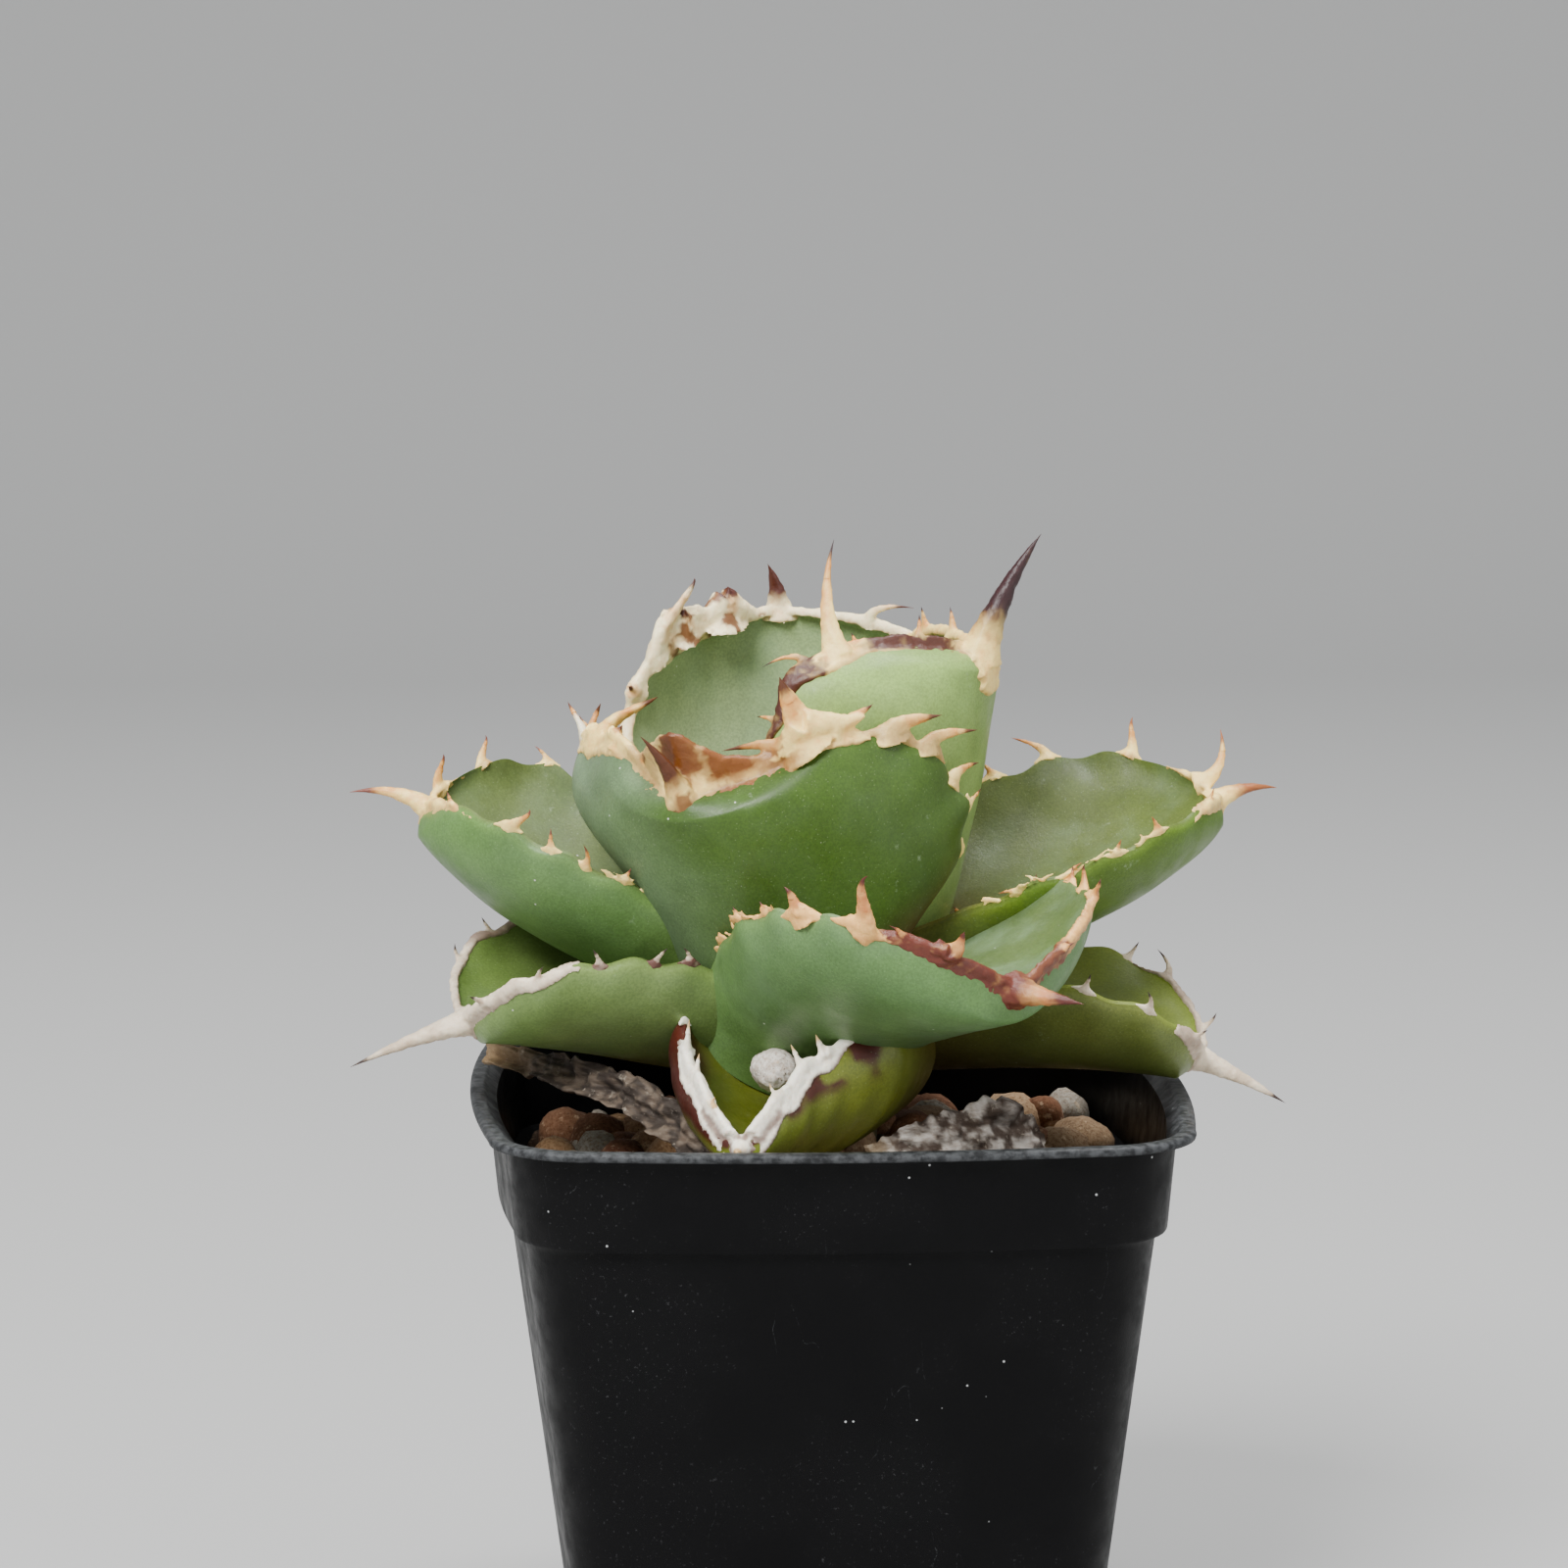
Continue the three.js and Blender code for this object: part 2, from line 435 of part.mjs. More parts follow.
// the horn of a leaf: a strip on each edge that rises into small teeth, the long teeth that stand
// on it, and the terminal spine, all one piece
function horn(leaf) {
  const [proud, tall] = leaf.horn;
  const parts = [];
  for (const side of [-1, 1]) {
    const path = edgePath(leaf, side);
    const length = path[0].togo * LOWEST_HORN;
    const teeth = teethOf(leaf, side, length);
    const isLong = (t) => Math.hypot(t.out, t.along, t.up) > LONG_TOOTH;
    const small = teeth.filter((t) => !isLong(t));
    const stations = small.flatMap((t) => [
      { togo: t.togo + t.foot / 2 }, { togo: t.togo, tooth: t }, { togo: t.togo - t.foot / 2 },
    ]);
    for (const togo of [length, ...rowDistances(leaf, side).filter((d) => d < length - 1), 0.25]) {
      if (stations.every((q) => Math.abs(q.togo - togo) > 1.3)) stations.push({ togo });
    }
    stations.sort((a, b) => b.togo - a.togo);
    parts.push(loft(stations.map(({ togo, tooth }) => {
      const e = edgeAt(path, togo);
      const wave = 1 + 0.18 * Math.sin(togo * 0.9 + side + leaf.az);
      const fade = mix(0.5, 1, Math.min(1.6 * (1 - togo / length), 1)) * wave;
      const p = proud * fade;
      const h = tall * fade / 2;
      const low = offset(e.P, [e.out, HORN_GAP], [e.up, -h]);
      const high = offset(e.P, [e.out, HORN_GAP], [e.up, h]);
      if (tooth) {
        const reach = HORN_GAP + p * 0.5 + tooth.out;
        const tip = offset(e.P, [e.out, reach], [e.tau, tooth.along], [e.up, tooth.up]);
        return [low, offset(tip, [e.up, -0.2]), offset(tip, [e.up, 0.2]), high];
      }
      const outer = (a, b) => offset(e.P, [e.out, HORN_GAP + a], [e.up, b]);
      return [low, outer(p, -h * 0.6), outer(p * 0.9, h * 0.7), high];
    })));
    for (const { togo, out, along, up, foot } of teeth.filter(isLong)) {
      const e = edgeAt(path, togo);
      const root = offset(e.P, [e.out, HORN_GAP + 0.35 * proud]);
      const long = Math.hypot(out, along, up);
      const first = offset(root, [e.out, 0.55 * long], [e.up, 0.1 * long]);
      const tip = offset(root, [e.out, out], [e.tau, along], [e.up, up]);
      parts.push(spike(root, first, tip, foot / 2, long > 5 ? 4 : 3, long > 6 ? 4 : 3));
    }
  }
  const f = leafFrame(leaf, 1);
  const [far, sideways, up] = leaf.spine;
  const foot = offset(f.C, [f.T, CLEARANCE], [f.N, -0.8]);
  const long = Math.hypot(far, sideways, up);
  const first = offset(foot, [f.T, long * 0.45]);
  const tip = offset(foot, [f.T, far], [f.B, sideways], [f.N, up]);
  parts.push(spike(foot, first, tip, leaf.root, 5, 4, 0.2));
  return parts.reduce((a, b) => a.add(b));
}

// Pot and soil
function potOutline(half, corner, bow, z) {
  const points = [];
  const reach = half - corner;
  for (let q = 0; q < 4; q++) {
    const turn = q * Math.PI / 2;
    const [c, s] = [Math.cos(turn), Math.sin(turn)];
    const put = (x, y) => points.push([x * c - y * s, x * s + y * c, z]);
    for (let i = 0; i < SIDE_STEPS; i++) {
      const share = 2 * i / SIDE_STEPS - 1;
      put(half + bow * (1 - share * share), share * reach);
    }
    for (let i = 0; i < CORNER_STEPS; i++) {
      const a = Math.PI / 2 * i / CORNER_STEPS;
      put(reach + corner * Math.cos(a), reach + corner * Math.sin(a));
    }
  }
  return points;
}

const bodyHalf = (z) => mix(BASE_HALF, BODY_TOP_HALF, z / (POT_HEIGHT - BAND_HEIGHT));
const cornerAt = (z) => mix(BASE_CORNER, RIM_CORNER, z / POT_HEIGHT);
const bowAt = (z) => SIDE_BOW * (0.4 + 0.6 * z / POT_HEIGHT);

function pot() {
  const stepZ = POT_HEIGHT - BAND_HEIGHT;
  const lipZ = POT_HEIGHT - LIP_THICK;
  const ring = (half, z, inset = 0) => potOutline(half, cornerAt(z) - inset, bowAt(z), z);
  const outer = loft([
    ring(BASE_HALF - 0.8, 0), ring(BASE_HALF, 1),
    ring(BODY_TOP_HALF, stepZ - 0.4), ring(BAND_FOOT_HALF, stepZ), ring(BAND_TOP_HALF, lipZ),
    ring(RIM_HALF, lipZ + 0.1), ring(RIM_HALF - 0.3, POT_HEIGHT),
  ]);
  const inner = loft([
    ring(bodyHalf(FLOOR) - WALL, FLOOR, WALL), ring(BODY_TOP_HALF - WALL, stepZ + 0.4, WALL),
    ring(BAND_FOOT_HALF - WALL, stepZ + 1, WALL), ring(BAND_TOP_HALF - WALL, lipZ, WALL),
    ring(RIM_HALF - LIP_WIDTH, POT_HEIGHT + 0.1, WALL),
  ]);
  const hole = (x, y, r) => {
    const round = (z) => Array.from({ length: DRAIN_SIDES }, (_, j) => {
      const a = 2 * Math.PI * j / DRAIN_SIDES;
      return [x + r * Math.cos(a), y + r * Math.sin(a), z];
    });
    return loft([round(-1), round(FLOOR + 1)]);
  };
  const drains = [];
  for (const sx of [-1, 1]) {
    for (const sy of [-1, 1]) drains.push(hole(sx * DRAIN_OFFSET, sy * DRAIN_OFFSET, DRAIN_RADIUS));
  }
  return cutBy(outer.subtract(inner), drains);
}

// the stones lie in a spiral over the whole top, each with its own size and height
function stoneTop(x, y) {
  const mound = MOUND_RISE * Math.exp(-(x * x + y * y) / MOUND_WIDTH ** 2);
  let top = 0;
  for (let i = 1; i < STONE_COUNT; i++) {
    const a = i * 2.39996 + 0.5 * hash(i);
    const r = 4.9 * Math.sqrt(i) + 1.6 * hash(i, 2);
    const own = STONE_RADIUS * (0.75 + 0.5 * hash(i, 3));
    const d = Math.hypot(x - r * Math.cos(a), y - r * Math.sin(a)) / own;
    if (d < 1) top = Math.max(top, (STONE_RISE + 1.4 * hash(i, 4)) * Math.sqrt(1 - d * d) - 1);
  }
  return SOIL_LEVEL + mound + top;
}

function soil(grow = 0) {
  const inside = WALL + CLEARANCE;
  const at = (z) => potOutline(bodyHalf(z) - inside, cornerAt(z) - inside, bowAt(z), z);
  const foot = at(FLOOR + CLEARANCE);
  const shoulder = at(SOIL_LEVEL - 3);
  const rings = [foot, shoulder];
  for (let k = SOIL_RINGS; k >= 1; k--) {
    const share = k / SOIL_RINGS;
    rings.push(shoulder.map(([x, y]) => {
      const px = x * share;
      const py = y * share;
      return [px, py, (k === SOIL_RINGS ? SOIL_LEVEL : stoneTop(px, py)) + grow];
    }));
  }
  const n = foot.length;
  const points = [...rings.flat(), [0, 0, stoneTop(0, 0) + grow]];
  const faces = [];
  for (let i = 0; i + 1 < rings.length; i++) {
    for (let j = 0; j < n; j++) {
      const a = i * n + j;
      const b = i * n + (j + 1) % n;
      faces.push([a, b, b + n], [a, b + n, a + n]);
    }
  }
  const last = (rings.length - 1) * n;
  for (let j = 0; j < n; j++) faces.push([last + j, last + (j + 1) % n, points.length - 1]);
  for (let j = 1; j + 1 < n; j++) faces.push([0, j + 1, j]);
  return closedBody(points, faces);
}

// a dried leaf: a crumpled strip through [x, y, z, half width, twist in degrees]
function driedLeaf(stations, thick, crumple) {
  const perStation = 2;
  const sections = perStation * (stations.length - 1);
  const around = 7;
  const rings = [];
  const value = (u, k) => {
    const i = Math.min(Math.floor(u), stations.length - 2);
    const v = u - i;
    return mix(stations[i][k], stations[i + 1][k], v * v * (3 - 2 * v) * 0.5 + v * 0.5);
  };
  for (let i = 0; i <= sections; i++) {
    const u = i / perStation;
    const centre = [0, 1, 2].map((k) => value(u, k));
    const ahead = [0, 1, 2].map((k) => value(Math.min(u + 0.05, stations.length - 1), k));
    const behind = [0, 1, 2].map((k) => value(Math.max(u - 0.05, 0), k));
    const T = unit(sub(ahead, behind));
    const flat = unit(cross([0, 0, 1], T));
    const lift = cross(T, flat);
    const twist = radians(value(u, 4));
    const B = add(scale(flat, Math.cos(twist)), scale(lift, Math.sin(twist)));
    const N = cross(T, B);
    const w = value(u, 3);
    const top = [];
    const under = [];
    for (let j = 0; j < around; j++) {
      const s = 2 * j / (around - 1) - 1;
      const fold = crumple * (Math.sin(s * 5 + i * 0.9) + 0.8 * (hash(i, j) - 0.5)) + 0.35 * w * s * s;
      const p = offset(centre, [B, s * w * (1 + 0.12 * Math.sin(i * 1.7))], [N, fold]);
      top.push(offset(p, [N, thick / 2]));
      under.unshift(offset(p, [N, -thick / 2]));
    }
    rings.push([...top, ...under]);
  }
  const n = 2 * around;
  const faces = [];
  for (let i = 0; i + 1 < rings.length; i++) {
    for (let j = 0; j < n; j++) {
      const a = i * n + j;
      const b = i * n + (j + 1) % n;
      faces.push([a, b, b + n], [a, b + n, a + n]);
    }
  }
  const last = (rings.length - 1) * n;
  for (let j = 0; j + 1 < around; j++) {
    const k = n - 1 - j;
    faces.push([j + 1, j, k], [j + 1, k, k - 1]);
    faces.push([last + j, last + j + 1, last + k - 1], [last + j, last + k - 1, last + k]);
  }
  return closedBody(rings.flat(), faces);
}

function stone(x, y, z, radius) {
  const ball = new THREE.IcosahedronGeometry(1, 2);
  const at = ball.attributes.position;
  const seen = new Map();
  const points = [];
  const faces = [];
  let face = [];
  for (let i = 0; i < at.count; i++) {
    const p = [at.getX(i), at.getY(i), at.getZ(i)];
    const key = p.map((v) => v.toFixed(4)).join();
    if (!seen.has(key)) {
      seen.set(key, points.length);
      const lumps = 0.13 * Math.sin(p[0] * 5 + 1) + 0.12 * Math.sin(p[1] * 6 + p[2] * 4);
      const bump = 1 + lumps + 0.08 * (hash(points.length) - 0.5);
      points.push(offset([x, y, z], [[p[0], p[1] * 0.85, p[2] * 0.8], radius * bump]));
    }
    face.push(seen.get(key));
    if (face.length === 3) {
      faces.push(face);
      face = [];
    }
  }
  return closedBody(points, faces);
}

// Putting the plant together
const order = [YOUNG_LEAF, ...LEAVES];
const stem = turned(STEM_PROFILE, STEM_SIDES);
const stemTop = STEM_PROFILE.length - 1;
const grownStem = turned(
  STEM_PROFILE.map(([r, z], i) => [r + CLEARANCE, z + (i === stemTop ? CLEARANCE : 0)]), STEM_SIDES);
const bud = turned(BUD_PROFILE, STEM_SIDES);
const budRoom = BUD_PROFILE.map(([r, z]) => [r + CLEARANCE, z]);
const grownBud = turned([[4.6, 99.5], ...budRoom, [0.3, 123]], STEM_SIDES);
const potBody = pot();
const grownLeaves = order.map((leaf) => blade(leaf, CLEARANCE));
const soilBlock = soil();
const grownSoil = soil(CLEARANCE);
const blades = order.map((leaf, i) => {
  const cutters = [grownStem, grownBud, ...grownLeaves.slice(0, i), grownSoil];
  return largestPiece(cutBy(blade(leaf), cutters));
});
const horns = [];
order.forEach((leaf, i) => {
  const others = grownLeaves.filter((_, k) => k !== i);
  const leaves = [blade(leaf, OWN_CLEARANCE), ...others];
  const cutters = [...leaves, grownStem, grownBud, grownSoil, potBody, ...horns];
  horns.push(largestPiece(cutBy(horn(leaf), cutters)));
});

const soilWithHole = soilBlock.subtract(turned(
  STEM_PROFILE.map(([r, z], i) => [r + CLEARANCE, z - (i ? 0 : CLEARANCE)]), STEM_SIDES));

const around = [grownStem, ...grownLeaves, ...horns, grownSoil, potBody];
const [deadLeft, deadRight] = [DEAD_LEFT, DEAD_RIGHT].map((stations, i) => (
  largestPiece(cutBy(driedLeaf(stations, DEAD_THICK[i], DEAD_CRUMPLE[i]), around))));
const pumice = largestPiece(cutBy(stone(...PUMICE), [grownStem, ...grownLeaves, ...horns, grownSoil]));

function mesh(name, body, colour, roughness) {
  const { vertProperties, triVerts, numProp } = body.getMesh();
  const positions = new Float32Array(vertProperties.length / numProp * 3);
  for (let i = 0; i < positions.length / 3; i++) {
    for (let k = 0; k < 3; k++) positions[i * 3 + k] = vertProperties[i * numProp + k];
  }
  const geometry = new THREE.BufferGeometry();
  geometry.setAttribute('position', new THREE.BufferAttribute(positions, 3));
  geometry.setIndex(new THREE.BufferAttribute(new Uint32Array(triVerts), 1));
  geometry.computeVertexNormals();
  const material = new THREE.MeshStandardMaterial({ color: colour, roughness, metalness: 0 });
  const node = new THREE.Mesh(geometry, material);
  node.name = name;
  return node;
}

const plant = new THREE.Group();
plant.name = 'potted_agave';
plant.add(mesh('pot', potBody, COLOUR.pot, 0.45));
plant.add(mesh('soil', soilWithHole, COLOUR.soil, 0.95));
plant.add(mesh('stem', stem, COLOUR.stem, 0.8));
plant.add(mesh('heart_bud', bud, COLOUR.bud, 0.55));
order.forEach((leaf, i) => {
  plant.add(mesh(`leaf_${leaf.name}`, blades[i], leaf.colour, 0.5));
  plant.add(mesh(`horn_${leaf.name}`, horns[i], leaf.hornColour, 0.6));
});
plant.add(mesh('dead_leaf_left', deadLeft, COLOUR.dead, 0.85));
plant.add(mesh('dead_leaf_right', deadRight, COLOUR.stump, 0.85));
plant.add(mesh('pumice_stone', pumice, COLOUR.pumice, 0.9));

export default plant;
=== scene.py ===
import math
import random

import bmesh
import bpy
import numpy as np
from mathutils import Matrix, Vector, kdtree, noise


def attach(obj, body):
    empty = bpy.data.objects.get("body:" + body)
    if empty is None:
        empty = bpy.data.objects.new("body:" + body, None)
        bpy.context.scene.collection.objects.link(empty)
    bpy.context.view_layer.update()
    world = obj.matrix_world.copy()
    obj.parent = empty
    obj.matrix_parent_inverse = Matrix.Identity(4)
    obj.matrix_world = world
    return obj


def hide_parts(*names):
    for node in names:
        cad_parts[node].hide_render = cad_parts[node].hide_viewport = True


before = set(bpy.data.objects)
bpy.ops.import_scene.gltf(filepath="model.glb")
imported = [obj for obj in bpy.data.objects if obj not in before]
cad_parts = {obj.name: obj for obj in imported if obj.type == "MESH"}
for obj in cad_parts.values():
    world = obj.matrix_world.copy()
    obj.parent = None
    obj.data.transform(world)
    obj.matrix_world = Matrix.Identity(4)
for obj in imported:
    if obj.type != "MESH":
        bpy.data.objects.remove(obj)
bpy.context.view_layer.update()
MM = 0.001

# The plant's axis and the leaf formula's constants, as in the part
AXIS_X = -2.0
EDGE_THICK = 1.0
TIP_POWER = 2.2
TIP_ROUND = 0.62
NARROWING = (0.3, 0.8)          # where along a leaf a half is drawn in at the top
WAIST_START = (0.05, 0.3)       # and along its middle
WAIST_END = (0.92, 0.6)
LOBE_RISE = ((0.93, 0.98), (0.78, 0.92))   # a lobe beside the tip, on the left and the right half
LOBE_FALL = ((1, 0.98), (1, 0.94))
TOOTH_SPACING = 8.6
LOWEST_HORN = 0.76
CLEARANCE = 0.3
LEAF_LENGTH = 50.0     # rough length of a leaf, for waves along its edges
WAVE = 0.36            # how far those waves rise and fall

# The pot and the soil, as in the part
POT_HEIGHT = 80.0
RIM_HALF = 45.0
LIP_WIDTH = 2.1
LIP_THICK = 1.2
BAND_HEIGHT = 13.5
BAND_TOP_HALF = 42.7
BAND_FOOT_HALF = 41.7
BODY_TOP_HALF = 40.4
BASE_HALF = 32.3
WALL = 1.2
FLOOR = 1.6
RIM_CORNER = 13.0
BASE_CORNER = 8.0
SIDE_BOW = 2.2
DRAIN_RADIUS = 4.2
DRAIN_OFFSET = 19.0
DRAIN_SIDES = 32
SOIL_LEVEL = 68.5
STONE_RADIUS = 4.6
STONE_RISE = 3.4
STONE_COUNT = 110
MOUND_RISE = 6.0
MOUND_WIDTH = 20.0

# Each leaf: direction it grows in (degrees, -90 is to the front); the middle of its upper face as
# (distance from the axis, height); half width (w) and its share at the base (wb); where it is widest
# (tm); how it narrows to the tip (tp, tq); cup at base, middle and tip; thickness; roll; sideways
# lean of its foot (foot) and of its tip (shift); how far its trough is a V (vee); folds; how much
# either half is drawn in at the top (narrow) or along its middle (waist) and rises beside the tip
# (lobe); terminal spine (out, side, up) and its root; horn (proud, tall); and its own teeth (edge,
# distance from the tip, out, towards the tip, up, width of the foot, bend along the edge).
# The first is the youngest: it stands against the bud, inside the others.
LEAVES = [
  dict(name="L0", az=-160, line=[[4, 92], [8, 98], [13, 110], [15, 120]],
    w=14, wb=0.5, tm=0.7, tq=0.45, cup=[0.8, 0.8, 0.6], th=4,
    spine=[3, 0, 0.5], root=1.6, horn=[1.2, 1.6]),
  dict(name="L3", az=-16, line=[[5, 90], [13, 99], [17, 122], [21.6, 138]],
    w=20, wb=0.45, tm=0.76, tq=0.4, cup=[0.8, 0.85, 0.85], th=5, roll=[-8, -8],
    spine=[16.6, 3.5, -2.4], root=3.7, horn=[1.7, 2.4],
    teeth=[[-1, 20.5, 13.5, 5, 2, 3.8], [-1, 24.5, 2.5, -6, 1.5], [-1, 17.5, 1.8, -0.5, 0.5],
      [-1, 33, 2.6, -1, 1], [-1, 41, 2.6, 1, 1]]),
  dict(name="L2", az=98, line=[[5, 90], [14, 97], [24, 118], [22, 140]],
    w=22.5, wb=0.45, tm=0.75, tq=0.32, cup=[0.7, 0.6, 0.55], th=6,
    spine=[6.6, 1.8, 1], root=2.8, horn=[1.6, 2.6],
    teeth=[[-1, 12, 3.5, -6, 0, 2.6], [1, 15.5, 4.2, -1, 1, 5], [1, 9, 4.6, 0, 0.8, 8],
      [1, 21, 6.6, 8.9, 0.6, 4.4, (-1.5, 3)], [1, 27, 3.2, 0.5, 0.2, 4.4]]),
  dict(name="L1", az=-125, line=[[6, 90], [14, 93], [22, 107], [31, 122.3]],
    w=29.5, wb=0.3, tm=0.75, tq=0.54, cup=[0.8, 0.8, 0.62], th=6, roll=[0, 3],
    narrow=[0, 0.17], waist=[0.38, 0], lobe=[3, 4.2], spine=[10.5, -1.8, -1.5], root=2.6, horn=[2, 2.8],
    teeth=[[-1, 26, 4.5, 1.5, 9, 5.4, (3, -2)], [-1, 30.5, 4.5, 1.5, 2.5, 3.6, (1.5, -1)],
      [-1, 33.5, 6, -0.5, -2, 3, (1.2, 0.8)], [-1, 37.5, 4.8, 0, -2.2, 2.8, (-1.2, 0.8)],
      [-1, 41, 4.4, -1.5, -1, 2.6, (1, 1)], [1, 17.3, 9.5, -1.5, 2.4, 8.4],
      [1, 14.8, 3.4, 6.5, 3.4, 3.6, (0.5, -1.8)], [1, 20.8, 3, -5, 0.6, 3.8, (-1, 0)],
      [1, 28.4, 4.4, -4.8, -1, 5, (1.6, 1.4)], [1, 34, 5, -4.5, -1.5, 3.8, (1.6, 1.2)],
      [1, 40.5, 5, -1, 0, 3, (1, 0.8)], [1, 45, 3.4, 0.5, 1, 2], [-1, 16, 1.8, 1, 1, 4]]),
  dict(name="L5", az=6, line=[[6, 96], [22, 103], [42, 108], [54, 117]],
    w=18, wb=0.6, tm=0.55, tq=0.55, cup=[0.6, 0.5, 0.5], th=5.5, roll=[12, 12],
    spine=[7.4, 0, -4], root=2.4, horn=[1.2, 1.8],
    teeth=[[1, 3.5, 7.2, -2.5, 1.5, 3.2, (2.6, 2.2)], [1, 15, 4.7, -1.5, 1.3, 2.6, (0.6, -0.6)],
      [1, 26.5, 3.5, -4, 1, 2.2, (0.5, 0.8)],
      [-1, 22, 2, -0.8, 1.3], [-1, 29, 1.8, 0.5, 0.7], [-1, 36, 1, 2.2, 0.5], [-1, 43, 1, -2, 0.5],
      [-1, 9, 1.6, 0.3, 1]]),
  dict(name="L4", az=178, line=[[6, 96], [22, 102], [40, 109], [50, 117.5]],
    w=18, wb=0.6, tm=0.6, tq=0.5, cup=[0.6, 0.5, 0.5], th=8, roll=[-8, -8],
    spine=[8.8, 0, -5.2], root=2.3, horn=[1.2, 1.8],
    teeth=[[-1, 4, 3, -2, 4.5, 2.6, (1.6, -1)], [-1, 13, 3, -1.8, 2, 2.2, (0.8, -1)],
      [-1, 23.5, 2, 1.9, 0.3],
      [1, 21.5, 3, -3, 1.2, 2.4, (-1, -1.2)], [1, 28, 2.6, 0.2, 1.2], [1, 33, 2.6, 2.5, 0.3],
      [1, 38.5, 1.6, 0.2, 0.8], [1, 45, 1.3, 1.3, 0.5], [1, 10, 1.4, 0, 0.8]]),
  dict(name="L6", az=-62, line=[[5, 87], [17, 100], [38, 100.5], [49, 100.5]],
    w=22, wb=0.62, tm=0.56, tq=0.5, foot=-6, cup=[0.5, 0.45, 0.5], th=9.5,
    spine=[8.4, 3, -0.8], root=3.2, horn=[1.1, 1.4],
    teeth=[[1, 26, 2.5, 0, 2.3, 2.4, (0.6, -0.6)], [1, 21.5, 2.6, 0.1, 2, 2.6, (-0.6, 0.8)],
      [1, 31, 1.5, -0.3, 1.1], [1, 39, 1.6, 0, 0.8], [-1, 12, 4, -1, 2.5, 4.2, (1.4, 0.4)],
      [-1, 17.5, 1.4, -2.2, 0.2], [-1, 23, 8, -1.5, 3, 4.4, (1.8, -2)],
      [-1, 31.5, 4.5, -1.3, 0.8, 4.6, (-1, 1)], [-1, 39, 1.3, 0, 0.7], [-1, 46, 1.3, 0, 0.6]]),
  dict(name="R1", az=78, line=[[6, 92], [20, 97], [36, 100], [48, 102]],
    w=19, wb=0.8, tm=0.6, tq=0.5, cup=[0.5, 0.5, 0.5], th=7,
    spine=[10, 0, -1], root=2.6, horn=[1.4, 2]),
  dict(name="L7", az=-166, line=[[6, 88], [20, 92], [36, 94], [47, 91.5]],
    w=17, wb=0.8, tm=0.6, tq=0.5, cup=[0.5, 0.5, 0.4], th=7,
    spine=[15.7, -2, -2], root=2.6, horn=[1.3, 1.4],
    teeth=[[1, 18, 2, -2, 0.5], [1, 26.5, 2.5, 1, 0.5], [1, 34, 2.4, -0.7, 0.7],
      [1, 39, 1.5, 1.7, 0.9], [1, 44.5, 1.4, 2, 0.5], [-1, 13, 1.4, -1.2, 2.4],
      [-1, 20, 2.2, 0.5, 1]]),
  dict(name="L8", az=-8, line=[[6, 90], [20, 92], [36, 91], [51, 85]],
    w=17, wb=0.7, tm=0.6, tq=0.5, cup=[0.5, 0.4, 0.4], th=8,
    spine=[12.8, 0, -1.2], root=2.6, horn=[1.3, 1.5],
    teeth=[[-1, 19, 2.5, -2.5, 0.5], [-1, 28, 2.2, 0, 1.1], [-1, 9, 2, -1, 1],
      [1, 16.5, 2, -4, 1.5, 2.2], [1, 23, 2.4, -0.3, 1.3], [1, 6, 1.5, -1, 3]]),
  dict(name="R2", az=132, line=[[6, 88], [20, 91], [36, 91], [48, 88]],
    w=18, wb=0.7, tm=0.6, tq=0.5, cup=[0.5, 0.45, 0.4], th=7,
    spine=[11, 0, -1], root=2.6, horn=[1.6, 2.2]),
  dict(name="L9", az=-110, line=[[6, 81], [20, 79], [32, 78.5], [42.5, 80.5]],
    w=13, wb=0.9, tm=0.42, tp=1.5, tq=0.75, cup=[0.9, 0.98, 0.95], th=6, narrow=[0, 0.42],
    vee=0.6, foot=5, shift=3.4, folds=0.14, spine=[2.2, 0, -0.6], root=2.4, horn=[1.9, 2.0],
    teeth=[[-1, 13, 2.2, -2, 1.5, 2.6], [-1, 17.5, 3.4, -2.5, 1.5, 3], [-1, 7, 1.4, 0, 1],
      [1, 13, 2.2, -2, 2.5, 3], [1, 17, 3.2, -1, 1.5, 3.4], [1, 21, 2.4, -3.6, 2.8, 2.6],
      [1, 7, 1.8, -1, 1.5]]),
  dict(name="R3", az=40, line=[[6, 84], [18, 86], [30, 87], [40, 86]],
    w=14, wb=0.8, tm=0.6, tq=0.5, cup=[0.5, 0.5, 0.5], th=5,
    spine=[8, 0, -1], root=2.2, horn=[1.5, 2]),
]

# Dried leaves (x, y, z, half width, twist in degrees) and the pale stone (x, y, z, radius)
DEAD_LEFT = [[-45, 5, 83.4, 1.5, 50], [-35, -8, 83.4, 2.1, 65], [-27, -18, 82.6, 2.3, 75],
             [-20, -27, 79.4, 2.6, 70], [-15, -32, 75.2, 1.6, 60]]
DEAD_RIGHT = [[4, -27, 73.6, 2.6, 60], [9, -28, 75.2, 4, 70], [15, -29, 76.6, 5.4, 75],
              [20.5, -28.5, 77.2, 6, 80], [25.5, -27, 74.4, 3, 60]]
PUMICE = (-8.4, -25, 86.6, 3.3)

